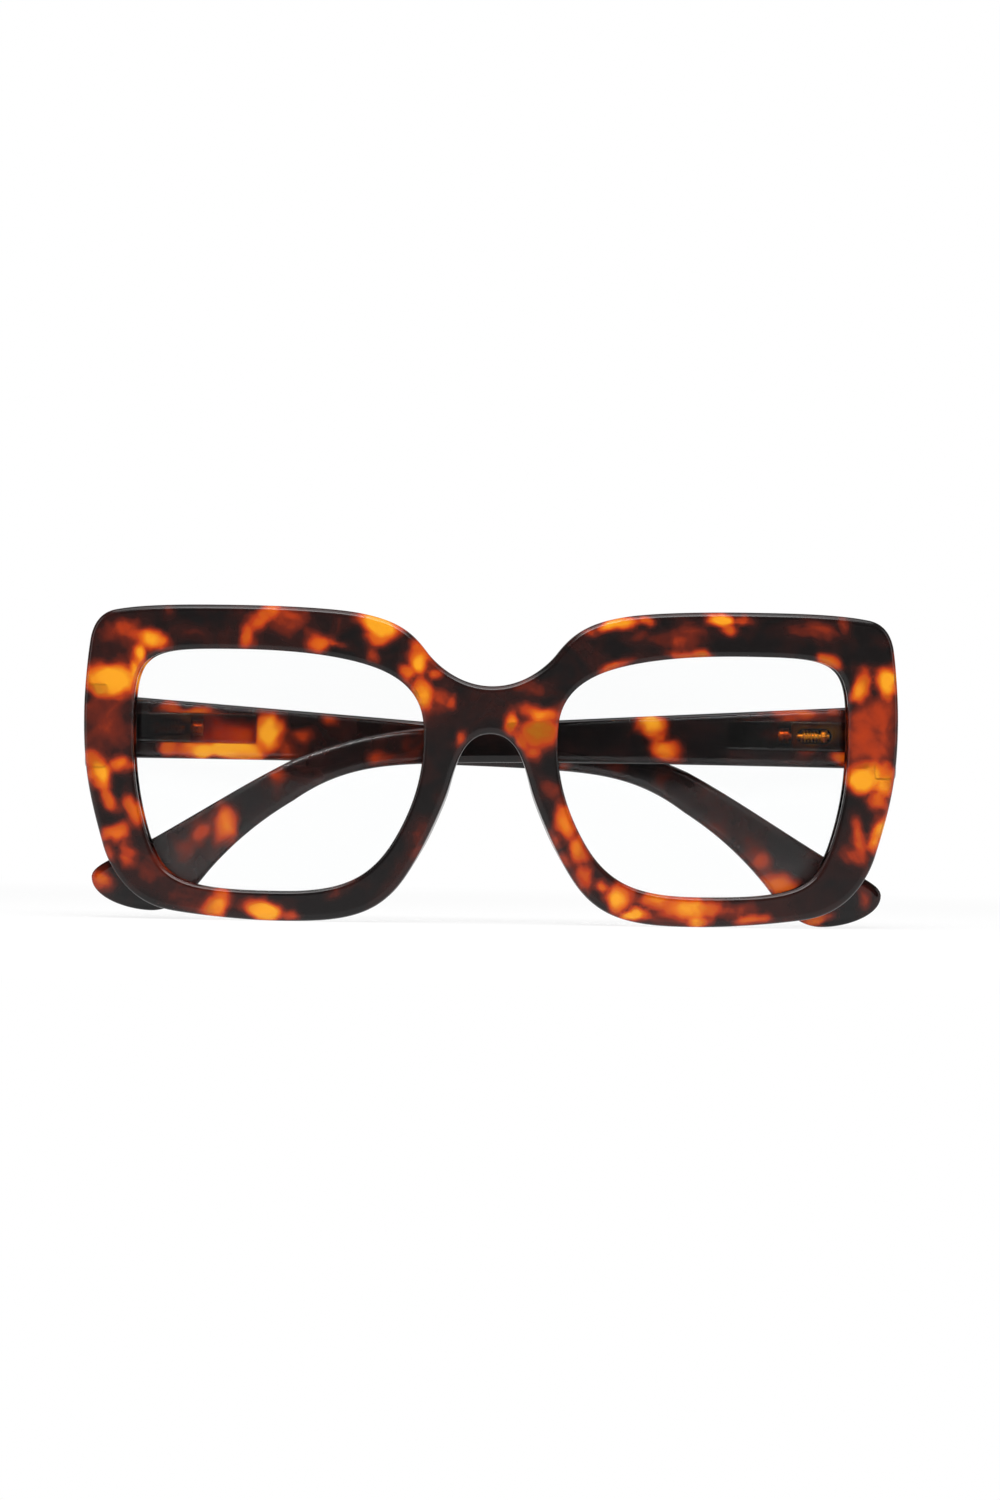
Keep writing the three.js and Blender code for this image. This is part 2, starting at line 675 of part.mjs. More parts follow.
// The outer temple's fold stops where it clears the inner one by STACK_GAP at their crossing.
function outerFoldDeg() {
  const stretch = (TEMPLE_LENGTH - TEMPLE_START) / (DRAWN_LENGTH - TEMPLE_START);
  const alongInner = TEMPLE_START + (BEND_AT - TEMPLE_START) * stretch;
  const alongOuter = 2 * PIN_X - alongInner;
  const lean = alongInner * Math.sin(rad(-LEFT_FOLD_DEG));
  const rise = thicknessAt(alongInner) + STACK_GAP - lean;
  return THREE.MathUtils.radToDeg(Math.asin(rise / alongOuter));
}

const templeParts = [
  ["temple", geometryOf(temple()), TORTOISE],
  ["temple_cover", indexed(cover()), TORTOISE],
  ["guide_screw", geometryOf(guideScrew()), STEEL],
  ["spring_nut", geometryOf(springNut()), STEEL],
  ["spring", indexed(spring()), STEEL],
  ["hinge_slider", geometryOf(slider()), DARK_METAL],
];

// Swings an arm-frame geometry into its folded place on one side: side +1 is the +X hinge.
function folded(geometry, side, foldDeg, tiltDeg) {
  const fold = rad(foldDeg);
  const tilt = rad(tiltDeg);
  const placed = remap(geometry.clone(), (x, y, z) => {
    const out = y - PIN_INSET;
    const rise = z - HINGE_HEIGHT;
    const along = x * Math.cos(tilt) - rise * Math.sin(tilt);
    const up = HINGE_HEIGHT + x * Math.sin(tilt) + rise * Math.cos(tilt);
    return [
      side * (PIN_X - along * Math.cos(fold) + out * Math.sin(fold)),
      PIN_Y + along * Math.sin(fold) + out * Math.cos(fold),
      up,
    ];
  });
  return facingOut(placed);
}

for (const [word, side, foldDeg, tiltDeg] of [
  ["left", 1, LEFT_FOLD_DEG, TEMPLE_TILT_DEG],
  ["right", -1, outerFoldDeg(), -TEMPLE_TILT_DEG],
]) {
  const place = (geometry) => (side > 0 ? geometry : mirrored(geometry));
  addPiece(word + "_hinge_anchor", place(anchor), DARK_METAL);
  addPiece(word + "_hinge_screw", place(hingeScrewGeometry), STEEL);
  for (const [name, geometry, material] of templeParts) {
    addPiece(word + "_" + name, folded(geometry, side, foldDeg, tiltDeg), material);
  }
}

// Origin at the bottom centre of the whole part --------------------------------------------------

const bounds = new THREE.Box3();
for (const mesh of meshes) {
  mesh.geometry.computeBoundingBox();
  bounds.union(mesh.geometry.boundingBox);
}
const centre = bounds.getCenter(new THREE.Vector3());
for (const mesh of meshes) {
  mesh.geometry.translate(-centre.x, -centre.y, -bounds.min.z);
}

export default group;
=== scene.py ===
"""Folding reading glasses: a bent full-rim front, two lenses and two sprung temples, made as finished
pieces round the fixed frame. Sizes are in millimetres until a mesh is made, which is in metres."""
import json
import math

import bmesh
import bpy
import numpy as np
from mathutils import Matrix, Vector, noise
from mathutils.geometry import delaunay_2d_cdt


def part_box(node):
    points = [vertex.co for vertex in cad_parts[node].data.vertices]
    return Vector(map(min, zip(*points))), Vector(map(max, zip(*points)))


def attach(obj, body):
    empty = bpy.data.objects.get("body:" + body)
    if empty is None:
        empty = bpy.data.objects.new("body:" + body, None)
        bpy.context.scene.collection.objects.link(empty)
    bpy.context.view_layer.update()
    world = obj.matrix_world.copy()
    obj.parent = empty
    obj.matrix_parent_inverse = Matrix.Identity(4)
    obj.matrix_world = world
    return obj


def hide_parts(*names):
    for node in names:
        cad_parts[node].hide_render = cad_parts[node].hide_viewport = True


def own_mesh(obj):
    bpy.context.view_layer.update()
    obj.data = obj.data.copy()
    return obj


bl_info = {
    "name": "Folding Reading Glasses",
    "version": (1, 0, 0),
    "blender": (4, 5, 0),
    "location": "View3D > Sidebar > Glasses",
    "description": "Builds tortoise reading glasses with sprung folding temples",
    "category": "Object",
}

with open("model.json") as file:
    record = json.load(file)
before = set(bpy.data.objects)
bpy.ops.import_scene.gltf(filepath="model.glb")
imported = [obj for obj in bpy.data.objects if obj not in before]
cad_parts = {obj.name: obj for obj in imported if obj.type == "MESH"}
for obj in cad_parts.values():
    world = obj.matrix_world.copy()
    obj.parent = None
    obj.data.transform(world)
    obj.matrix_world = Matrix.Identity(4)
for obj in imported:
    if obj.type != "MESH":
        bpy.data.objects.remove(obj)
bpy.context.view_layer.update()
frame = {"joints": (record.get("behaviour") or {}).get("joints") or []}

MM = 0.001
SIDES = {"left": 1, "right": -1}

# The front, drawn flat in (x, z) and then bent about a vertical cylinder behind it.
BEND_RADIUS = 400.0
FRONT_THICKNESS = 4.5
PIN_BACK_OF_FRONT = 14.783
OUTLINE_START = (0, 42.1)
OUTLINE = [
    ((7.2, 42.1), (11.5, 47.9), (11.5, 47.9)),
    ((14.2, 51.5), (17.1, 53.8), (24.8, 54.9)),
    ((30, 55.6), (38.8, 55.85), (46, 55.85)),
    ((53.6, 55.85), (61.4, 55.8), (66.4, 54.9)),
    ((67.9, 54.7), (70.5, 54.1), (71.4, 50)),
    ((71.8, 47.8), (72.45, 41.4), (72.45, 36.3)),
    ((72.45, 27.7), (71.7, 22.9), (68.8, 13.3)),
    ((68.4, 11.8), (65.8, 3.4), (57.1, 1.7)),
    ((54.3, 1.1), (44.2, 0), (37, 0)),
    ((26.8, 0), (20.8, 0.7), (16.1, 6.4)),
    ((12.5, 10.8), (8.5, 20.4), (7.6, 23.1)),
    ((6.3, 26.9), (5.3, 33.65), (0, 33.65)),
]
OPENING_START = (45, 48)
OPENING = [
    ((61.4, 48), (63.5, 47.8), (63.5, 35.5)),
    ((63.5, 30.2), (63.6, 23.9), (60.9, 15.3)),
    ((58.2, 6.9), (55.2, 5.3), (37.5, 5.3)),
    ((26.6, 5.3), (21, 7.2), (16.5, 15.3)),
    ((11.9, 23.5), (11.9, 29.9), (11.9, 33.2)),
    ((11.9, 35.9), (11.9, 41.2), (19, 44.4)),
    ((24.3, 46.8), (33.7, 48), (45, 48)),
]
LENS_CENTRE = (37.7, 26.7)
LENS_PLANE = 2.2
LENS_THICKNESS = 1.8
LENS_DOME = 1.6
LENS_LIP = 0.6
GROOVE_CLEARANCE = 0.25

# Nose pads: a smooth swelling of the back along the nose edge of each rim.
PAD_HEIGHT = 3.7
PAD_FLARE = 0.3
PAD_LOW = 8.5
PAD_HIGH = 29.5
PAD_LOW_FADE = 7.5
PAD_HIGH_FADE = 8.5
PAD_FULL_WITHIN = 1.3
PAD_NONE_BEYOND = 4.5
PAD_ROOT = 2.4
NOSE_EDGE_REACH = 16.2
NOSE_EDGE_HEIGHTS = (5.5, 33.7)
PAD_ZONE_REACH = 22

# Hinges
PIN_X = 69.1
HINGE_Z = 34.05
BARREL_RADIUS = 2.0
BARREL_HEIGHT = 2.15
BARREL_GAP = 0.15
PIN_RADIUS = 0.6
PIN_HOLE = 0.76
BARREL_STACK_HALF = (3 * BARREL_HEIGHT + 2 * BARREL_GAP) / 2
SCREW_HEAD_RADIUS = 1.5
SCREW_HEAD_HEIGHT = 0.6
SCREW_HEAD_GAP = 0.1
SLOT_WIDTH = 0.4
SLOT_DEPTH = 0.3
ANCHOR_GAP = 0.35
ANCHOR_PLATE = 0.8
ANCHOR_INBOARD = 3.6
ANCHOR_OUTBOARD = 1.2
ANCHOR_WEB = 2.0
ANCHOR_AHEAD_OF_PIN = 4.2
ANCHOR_WEB_SINK = 0.4
LUG_INBOARD = 0.7
LUG_OUTER_X = 72.42
LUG_HEIGHT = 15.0
LUG_CORNER = 2.1
LUG_EDGE = 0.45
LUG_ROOT_AHEAD_OF_PIN = 6.45
LUG_STRAIGHT_FROM = 11.0
LUG_LEAN = 0.7
LUG_NOTCH_CLEARANCE = 0.25
LUG_NOTCH_AHEAD_OF_PIN = 4.0
LUG_NOTCH_LENGTH = 12
OPEN_SPLAY = 4.8

# Temples, along the arm from the pin, with heights from the hinge's middle
PIN_INSET = 1.3
TEMPLE_START = 1.7
END_GAP = 0.3
TEMPLE_THICKNESS = 4.6
TIP_THICKNESS = 3.0
TAPER = (30.0, 80.0)
ARM_START = (1.7, 5.55)
ARM_END = (1.7, -5.6)
ARM = [
    ((30, 3.65), (50, 2.45), (66, 1.35)),
    ((84, 0.15), (92, -0.85), (104.5, -6.15)),
    ((112, -10.05), (119, -14.65), (128, -20.05)),
    ((134.5, -23.85), (139.7, -25.25), (139.7, -27.6)),
    ((139.7, -31.2), (133.5, -33.35), (129, -33.38)),
    ((124.5, -33.4), (121.5, -29.6), (119, -26.3)),
    ((114, -20.3), (109, -16.4), (104, -13.3)),
    ((96, -7.45), (89, -6.75), (80, -6.25)),
    ((65, -5.45), (35, -5.45), ARM_END),
]
POCKET_HALF = 2.7
POCKET_DEPTH = 3.9
POCKET_END = 17.9
COVER_START = 3.0
COVER_END = 27.2
COVER_THICKNESS = 0.7
FIT = 0.15
SLIDER_HALF = 2.3
SLIDER_START = 2.3
SLIDER_END = 15.5
SLIDER_CLEARANCE = 0.25
WINDOW_START = 8.2
WINDOW_END = 14.6
WINDOW_HALF = 1.45
TEMPLE_NOTCH_MARGIN = 0.5
SLIDE_DEPTH = 2.3
ROD_RADIUS = 0.55
ROD_START = 8.7
COLLAR_RADIUS = 1.4
COLLAR_LENGTH = 1.8
THREAD_RADIUS = 0.7
THREAD_LENGTH = 3.7
THREAD_TURNS = 7.0
THREAD_WIRE = 0.1
NUT_ACROSS = 2.2
NUT_START = 9.1
NUT_THICKNESS = 1.1
SPRING_RADIUS = 0.95
SPRING_WIRE = 0.17
SPRING_COILS = 5.5
SPRING_END_GAP = 0.1

# Mottling patches: centre across and up, half sizes, turn in degrees, strength. On the front they are
# in its own x and z; on a temple they are along the arm and up.
FRONT_PATCHES = [
    (-60.3, 49.25, 3.6, 1.5, -15, 0.88),
    (-62.4, 46.85, 1.1, 3, -12, 0.8),
    (-64, 43.75, 1, 3, 0, 0.85),
    (-67.5, 42.65, 5.8, 3, 0, 1),
    (-68, 34.25, 5.5, 7, 0, 0.4),
    (-69.3, 25.55, 2.1, 4.2, 20, 0.9),
    (-65.3, 27.25, 2.6, 1.6, 0, 0.76),
    (-67.6, 21.25, 2.9, 1.1, -45, 0.72),
    (-63.3, 19.25, 0.8, 3.2, 15, 0.74),
    (-66.5, 14.95, 3.1, 1.5, 12, 0.78),
    (-67.2, 11.85, 1.4, 1.3, 0, 0.58),
    (-64, 12.25, 0.9, 2, 0, 0.58),
    (-43.4, 50.05, 0.9, 2.2, 0, 0.64),
    (-41.2, 52.65, 2.4, 0.9, 45, 0.64),
    (-39.3, 54.65, 1, 1.3, 0, 0.62),
    (-58, 54.25, 1, 1.5, 0, 0.36),
    (-31, 49.45, 2.6, 1.9, -20, 0.7),
    (-28, 49.25, 2.2, 0.8, -10, 0.62),
    (-20, 52.55, 3.4, 1.7, -22, 0.97),
    (-20.3, 50.45, 2.2, 1.3, 0, 0.72),
    (-21.5, 47.65, 0.9, 2, 25, 0.5),
    (-12.9, 46.25, 2.1, 3.2, -10, 0.94),
    (-12.3, 40.85, 1.9, 3, 0, 0.78),
    (-10.3, 44.15, 1.1, 1, 0, 0.68),
    (-15, 43.85, 1.2, 1.2, 0, 0.78),
    (-6.5, 39.45, 0.6, 1.3, 0, 0.46),
    (-8.6, 40.25, 2, 3, 0, 0.33),
    (-5.3, 32.65, 0.5, 1.3, -25, 0.6),
    (-48.4, 2.25, 1.5, 1.6, 0, 0.78),
    (-47.7, 4.25, 0.9, 1.3, 0, 0.52),
    (-39.6, 1.75, 3, 1.8, 0, 1),
    (-35.6, 0.85, 1.8, 0.6, 0, 0.55),
    (-27, 5.05, 2, 0.6, 0, 0.3),
    (-66, 51.25, 4, 1.2, 20, 0.3),
    (-54, 50.75, 5, 1.5, 0, 0.3),
    (-36, 52.75, 4, 1.6, 0, 0.32),
    (-12, 14.25, 1.5, 5, -25, 0.3),
    (-57, 9.25, 3, 3, 0, 0.24),
    (-24, 8.25, 3, 2, -30, 0.28),
    (41, 54.95, 2.7, 1.1, 0, 1),
    (44.2, 55.05, 1.7, 0.8, 0, 0.68),
    (42, 53.25, 1.4, 1.1, 0, 0.62),
    (21.6, 53.35, 4.8, 0.8, 15, 0.9),
    (27.4, 54.55, 1.7, 0.7, 0, 0.72),
    (62.6, 54.45, 1, 1.6, 0, 0.36),
    (57, 52.75, 4, 1.5, 0, 0.33),
    (35.5, 48.05, 3.2, 0.5, 2, 0.72),
    (22, 45.75, 3.4, 0.5, 20, 0.6),
    (59.2, 47.45, 2.4, 0.6, -18, 0.8),
    (30, 51.25, 6, 1.5, 0, 0.35),
    (65.2, 43.05, 1.8, 2.9, 0, 0.86),
    (70.6, 44.05, 2.1, 2.4, 0, 1),
    (71.2, 47.55, 0.7, 1.6, 0, 0.66),
    (67.8, 35.25, 5, 6.5, 0, 0.46),
    (66.3, 26.85, 3.4, 2.6, 0, 1),
    (70.3, 26.25, 1.6, 3, 0, 0.82),
    (65.4, 17.05, 1, 3.6, 12, 0.64),
    (69.2, 17.85, 0.9, 3.4, -12, 0.9),
    (69.1, 22.05, 1.3, 2.3, 0, 0.66),
    (64.2, 13.05, 2, 1.5, 0, 0.37),
    (8.4, 37.45, 4.1, 1.5, 0, 0.8),
    (3.9, 35.65, 1.3, 2, 0, 0.76),
    (8.6, 34.45, 3.2, 3.6, 0, 0.78),
    (5.7, 32.85, 0.7, 2.6, 28, 0.66),
    (7.6, 30.85, 1.2, 1.4, 20, 0.6),
    (8, 41.85, 3, 1.6, 0, 0.38),
    (13.4, 17.85, 1.3, 3.9, 24, 0.78),
    (15.6, 13.65, 1.2, 2.1, 22, 0.74),
    (11.6, 15.05, 0.8, 1.6, 20, 0.52),
    (13, 11.65, 1.6, 1, 0, 0.45),
    (23, 4.75, 2.5, 2.1, 0, 0.84),
    (26, 1.65, 2.2, 1, 0, 1),
    (20.5, 6.65, 1.8, 1, -35, 0.72),
    (17.2, 8.25, 1.1, 2.1, 25, 0.52),
    (36, 3.45, 6, 1.6, 0, 0.78),
    (30, 4.45, 2.6, 0.9, 0, 0.68),
    (37.5, 1.25, 2, 0.8, 0, 0.82),
    (46.5, 1.15, 2.7, 0.5, 3, 0.66),
    (44, 2.85, 3, 1, 0, 0.4),
    (10.5, 23.25, 1.2, 2.5, 20, 0.36),
]
LEFT_PATCHES = [
    (14.1, 38.35, 5.8, 0.9, -2, 0.66),
    (16.1, 36.45, 1.6, 1.4, 0, 0.58),
    (10.6, 34.1, 5.2, 2.0, 0, 0.9),
    (19.1, 34.45, 2.6, 0.3, 0, 0.6),
    (40.7, 36.15, 2.3, 1.5, 0, 0.88),
    (39.6, 34.05, 1.5, 1.3, 0, 0.64),
    (38.1, 31.55, 3.5, 1.2, 25, 0.72),
    (6.8, 30.25, 1.8, 1, 0, 0.68),
    (116.1, 17.25, 1.9, 4, -8, 0.7),
    (120.7, 15.25, 2.3, 1.3, -40, 0.46),
    (106.6, 26.05, 1.1, 0.8, 0, 0.42),
    (137.4, 7.05, 2.2, 1.6, 0, 0.64),
    (122.6, 12.75, 2, 1, -30, 0.35),
    (89.1, 28.85, 2, 0.7, 0, 0.35),
    (5.1, 37.25, 1.5, 2, 0, 0.2),
]
RIGHT_PATCHES = [
    (22.1, 30.25, 9.6, 1.9, 0, 0.97),
    (29.5, 32.85, 2.7, 3.8, 0, 0.88),
    (23.1, 33.45, 6.4, 2.3, 0, 0.88),
    (11.7, 37.65, 2.2, 1.3, 0, 0.62),
    (16.1, 36.65, 4, 0.9, -4, 0.62),
    (11.1, 30.25, 1.6, 1.3, 0, 0.68),
    (39.9, 35.45, 1.4, 0.6, 0, 0.5),
    (35.5, 32.55, 1.6, 1.1, 0, 0.46),
    (32.6, 30.25, 1.5, 1.6, 0, 0.4),
    (121.4, 7.65, 3, 1.3, -8, 0.74),
    (118.1, 11.25, 1.5, 2, 0, 0.36),
    (127.7, 1.45, 3.2, 1, 0, 0.62),
    (136.9, 5.65, 1.2, 1.9, 0, 0.58),
    (82.1, 28.55, 1.2, 1, 0, 0.5),
    (91.1, 28.25, 2, 1, 0, 0.32),
    (100.1, 26.25, 1.5, 1, 0, 0.28),
]

# How far a patch's edge wanders, how far it is softened beyond its size, and where it fades, in sizes
PATCH_WANDER = 1.1
# Where in the noise each of a place's three wanders is read, and the share of its finer noise
WANDERS = (
    (Vector((0.31, 0.77, 0.15)), 0.4),
    (Vector((5.62, 1.43, 9.27)), 0.4),
    (Vector((2.84, 8.19, 4.56)), 0.5),
)
PATCH_MARGIN = 0.75
PATCH_NONE_BEYOND = 1.5
PATCH_FADE = 1.35

# Where each colour of the plastic sits on the mottling's scale
COLOUR_STOPS = {"dark": 0.0, "brown": 0.24, "red": 0.43, "ember": 0.59, "orange": 0.75, "honey": 0.9}
COVER_STOPS = [(0.0, (0.07, 0.022, 0.012)), (0.5, (0.5, 0.16, 0.04)), (0.85, (0.92, 0.55, 0.12))]

# Gloss of the plastic and the metal, as roughness
FRONT_ROUGHNESS = 0.2
TEMPLE_ROUGHNESS = 0.07
HINGE_METAL = {"gloss": 0.34, "metallic": 0.85, "scale": 1500.0}
SCREW_STEEL = {"gloss": 0.28, "metallic": 1.0, "scale": 2200.0}

# Mesh fineness
CURVE_STEPS = 60
OPENING_STEPS = 80
ROUND_FACETS = 48
ROD_FACETS = 32
THREAD_STEPS = 210
SPRING_STEPS = 220
FLOOR_FACETS = 96

# Lamps: place, aim and size in metres, and the stage setting that holds the power
LAMPS = {
    "Overhead": ((0, -0.12, 0.75), (0, 0, 0.02), (0.9, 0.55), "overhead"),
    "Key": ((0, -0.75, 0.85), (0, 0, 0.03), (0.9, 0.4), "key"),
    "Side left": ((-0.9, -0.3, 0.3), (0, 0, 0.03), (0.35, 0.7), "side"),
    "Side right": ((0.9, -0.3, 0.3), (0, 0, 0.03), (0.35, 0.7), "side"),
}
CAMERA_X = 0.00167
FLOOR_RINGS = (300, 900, 3000)

# The Mix node's sockets for colours, which share their names with its other sockets
MIX_FACTOR = 0
MIX_FIRST = 6
MIX_SECOND = 7
MIX_RESULT = 2


# Outlines and solids ------------------------------------------------------------------------------


def trace(start, segments, steps):
    """Points along a chain of cubic curves, without its last point."""
    points = []
    t = np.linspace(0, 1, steps, endpoint=False)[:, None]
    here = np.array(start, float)
    for a, b, c in segments:
        a, b, c = (np.array(p, float) for p in (a, b, c))
        points.append(
            (1 - t) ** 3 * here + 3 * (1 - t) ** 2 * t * a + 3 * (1 - t) * t**2 * b + t**3 * c
        )
        here = c
    return np.vstack(points)


def spread(points, spacing):
    """The closed outline again, counter-clockwise, with points about one spacing apart."""
    closed = np.vstack([points, points[:1]])
    run = np.concatenate([[0], np.cumsum(np.linalg.norm(np.diff(closed, axis=0), axis=1))])
    count = max(8, int(run[-1] / spacing))
    at = np.linspace(0, run[-1], count, endpoint=False)
    even = np.column_stack([np.interp(at, run, closed[:, i]) for i in (0, 1)])
    after = np.roll(even, -1, axis=0)
    area = np.sum(even[:, 0] * after[:, 1] - after[:, 0] * even[:, 1])
    return even if area > 0 else even[::-1]


def inset(points, distance):
    """A counter-clockwise outline moved inwards along the normals of its points."""
    along = np.roll(points, -1, axis=0) - np.roll(points, 1, axis=0)
    along /= np.linalg.norm(along, axis=1)[:, None]
    return points + distance * np.column_stack([-along[:, 1], along[:, 0]])


def rectangle(x0, z0, x1, z1, corner=0.0, steps=5):
    """A rectangle with rounded corners, counter-clockwise."""
    if corner <= 0:
        return np.array([(x0, z0), (x1, z0), (x1, z1), (x0, z1)], float)
    points = []
    middles = ((x1 - corner, z0 + corner, -90), (x1 - corner, z1 - corner, 0))
    middles += ((x0 + corner, z1 - corner, 90), (x0 + corner, z0 + corner, 180))
    for x, z, turn in middles:
        for i in range(steps + 1):
            angle = math.radians(turn + 90 * i / steps)
            points.append((x + corner * math.cos(angle), z + corner * math.sin(angle)))
    return np.array(points)


def within(points, loop):
    """Which points lie inside a closed loop."""
    inside = np.zeros(len(points), bool)
    x, z = points[:, 0], points[:, 1]
    for (xa, za), (xb, zb) in zip(loop, np.roll(loop, -1, axis=0)):
        if za == zb:
            continue
        crosses = (za > z) != (zb > z)
        inside ^= crosses & (x < (xb - xa) * (z - za) / (zb - za) + xa)
    return inside


def fill(outer, holes, spacing):
    """Triangles over a flat region with holes, and with points inside it one spacing apart."""
    loops = [outer, *holes]
    points = np.vstack(loops)
    edges = []
    first = 0
    for loop in loops:
        count = len(loop)
        edges += [(first + i, first + (i + 1) % count) for i in range(count)]
        first += count
    if spacing:
        low, high = outer.min(0), outer.max(0)
        rows = np.arange(low[1], high[1], spacing * 0.87)
        lines = []
        for i, z in enumerate(rows):
            across = np.arange(low[0] + (i % 2) * spacing / 2, high[0], spacing)
            lines.append(np.column_stack([across, np.full(len(across), z)]))
        grid = np.vstack(lines)
        keep = within(grid, outer)
        for hole in holes:
            keep &= ~within(grid, hole)
        grid = grid[keep]
        near = np.full(len(grid), np.inf)
        for start in range(0, len(points), 200):
            gaps = grid[:, None, :] - points[None, start : start + 200, :]
            near = np.minimum(near, np.sqrt((gaps**2).sum(2)).min(1))
        points = np.vstack([points, grid[near > spacing * 0.45]])
    flat = [Vector((float(x), float(z))) for x, z in points]
    made, _, faces, origin, _, _ = delaunay_2d_cdt(flat, edges, [], 0, 1e-6)
    places = np.array([points[o[0]] if o else tuple(v) for v, o in zip(made, origin)])
    faces = np.array(faces)
    middle = places[faces].mean(1)
    keep = within(middle, outer)
    for hole in holes:
        keep &= ~within(middle, hole)
    return places, faces[keep]


def plate(outer, holes, low, high, edge, spacing=0.0, hole_edge=None, groove=None, steps=5):
    """A slab over an outline in (x, z), from y = low to y = high, with rounded edges. A groove is its
    lower and upper y and its depth, cut round each hole's wall."""
    hole_edge = edge if hole_edge is None else hole_edge

    def profile(radius, with_groove):
        turns = [math.radians(90 * i / steps) for i in range(steps + 1)]
        lower = [(radius * (1 - math.sin(t)), low + radius * (1 - math.cos(t))) for t in turns]
        upper = [(d, low + high - y) for d, y in reversed(lower)]
        middle = []
        if with_groove and groove:
            start, end, depth = groove
            middle = [(0, start), (depth, start), (depth, end), (0, end)]
        margin = [(radius + 0.25, low)] if radius else []
        finish = [(radius + 0.25, high)] if radius else []
        if not radius:
            lower, upper = [(0, low)], [(0, high)]
        return margin + lower + middle + upper + finish

    vertices, faces = [], []
    caps = []
    for i, loop in enumerate([outer, *holes]):
        rows = profile(edge if i == 0 else hole_edge, i > 0)
        inward = 1 if i == 0 else -1
        base = sum(len(v) for v in vertices)
        count = len(loop)
        for depth, y in rows:
            moved = inset(loop, inward * depth) if depth else loop
            vertices.append(np.column_stack([moved[:, 0], np.full(count, y), moved[:, 1]]))
        caps.append(vertices[-1][:, [0, 2]])
        for row in range(len(rows) - 1):
            for j in range(count):
                a = base + row * count + j
                b = base + row * count + (j + 1) % count
                faces.append((a, b, b + count, a + count) if i == 0 else (b, a, a + count, b + count))
    places, triangles = fill(caps[0], caps[1:], spacing)
    for y, turned in ((low, False), (high, True)):
        base = sum(len(v) for v in vertices)
        vertices.append(np.column_stack([places[:, 0], np.full(len(places), y), places[:, 1]]))
        for a, b, c in triangles:
            faces.append((base + c, base + b, base + a) if turned else (base + a, base + b, base + c))
    return np.vstack(vertices), faces


def lathe(profile, facets=ROUND_FACETS):
    """A turned solid about Z from (radius, z) points; a profile that leaves the axis is a ring."""
    ring = profile[0][0] > 0
    vertices, faces = [], []
    turns = np.linspace(0, 2 * math.pi, facets, endpoint=False)
    for radius, z in profile:
        vertices.append(
            np.column_stack([radius * np.cos(turns), radius * np.sin(turns), np.full(facets, z)])
        )
    rows = len(profile)
    for row in range(rows if ring else rows - 1):
        for j in range(facets):
            after = (j + 1) % facets
            near, far = row * facets, ((row + 1) % rows) * facets
            faces.append((near + j, near + after, far + after, far + j))
    return np.vstack(vertices), faces


def along_x(solid, centre):
    """Lays a solid turned about Z along the arm, with its axis at (depth, height)."""
    vertices, faces = solid
    return np.column_stack(
        [vertices[:, 2], vertices[:, 0] + centre[0], vertices[:, 1] + centre[1]]
    ), faces


def moved(solid, x=0.0, y=0.0, z=0.0):
    """The same solid somewhere else."""
    vertices, faces = solid
    return vertices + np.array([x, y, z]), faces


def block(low, high, edge=0.0):
    """A box from corner to corner, with its upright edges and its two broad faces rounded."""
    outline = rectangle(low[0], low[2], high[0], high[2], edge)
    return plate(outline, [], low[1], high[1], edge * 0.8, steps=3)


def object_of(name, solid, place=None):
    """A closed mesh object in metres, with its doubles merged and its faces outwards."""
    vertices, faces = solid
    if place is not None:
        vertices = place(vertices)
    mesh = bpy.data.meshes.new(name)
    mesh.from_pydata((vertices * MM).tolist(), [], [tuple(int(i) for i in f) for f in faces])
    tidy(mesh)
    made = bpy.data.objects.new(name, mesh)
    bpy.context.scene.collection.objects.link(made)
    return made


def tidy(mesh):
    """Merges doubles, drops slivers and turns every face outwards."""
    work = bmesh.new()
    work.from_mesh(mesh)
    bmesh.ops.remove_doubles(work, verts=work.verts, dist=0.0015 * MM)
    bmesh.ops.dissolve_degenerate(work, edges=work.edges, dist=0.0005 * MM)
    bmesh.ops.recalc_face_normals(work, faces=work.faces)
    volume = work.calc_volume(signed=True)
    if volume < 0:
        bmesh.ops.reverse_faces(work, faces=work.faces)
    work.to_mesh(mesh)
    work.free()


def combine(base, others, operation):
    """Joins or cuts a mesh object with others, which are used up."""
    for other in others:
        cut = base.modifiers.new("Combine", "BOOLEAN")
        cut.operation = operation
        cut.solver = "EXACT"
        cut.object = other
    graph = bpy.context.evaluated_depsgraph_get()
    mesh = bpy.data.meshes.new_from_object(base.evaluated_get(graph))
    base.modifiers.clear()
    base.data = mesh
    for other in others:
        bpy.data.objects.remove(other)
    tidy(mesh)
    return base


def smooth(made, degrees=32):
    """Shades a piece smooth, with its sharp edges kept."""
    mesh = made.data
    work = bmesh.new()
    work.from_mesh(mesh)
    limit = math.radians(degrees)
    for edge in work.edges:
        edge.smooth = len(edge.link_faces) != 2 or edge.calc_face_angle(0) < limit
    for face in work.faces:
        face.smooth = True
    work.to_mesh(mesh)
    work.free()


def finished(made, body, node, material, name):
    """Puts a finished piece on its body in place of its plain node."""
    made.name = name
    made.data.name = name
    made.data.materials.clear()
    made.data.materials.append(material)
    smooth(made)
    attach(made, body)
    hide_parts(node)
    return made


# Places in the frame ------------------------------------------------------------------------------


def pin_of(word):
    """The middle of a hinge's pin, from the frame."""
    low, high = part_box(word + "_hinge_screw")
    middle = (low + high) / 2 / MM
    return np.array([middle.x, middle.y, HINGE_Z])


FRONT_Y = pin_of("left")[1] - PIN_BACK_OF_FRONT


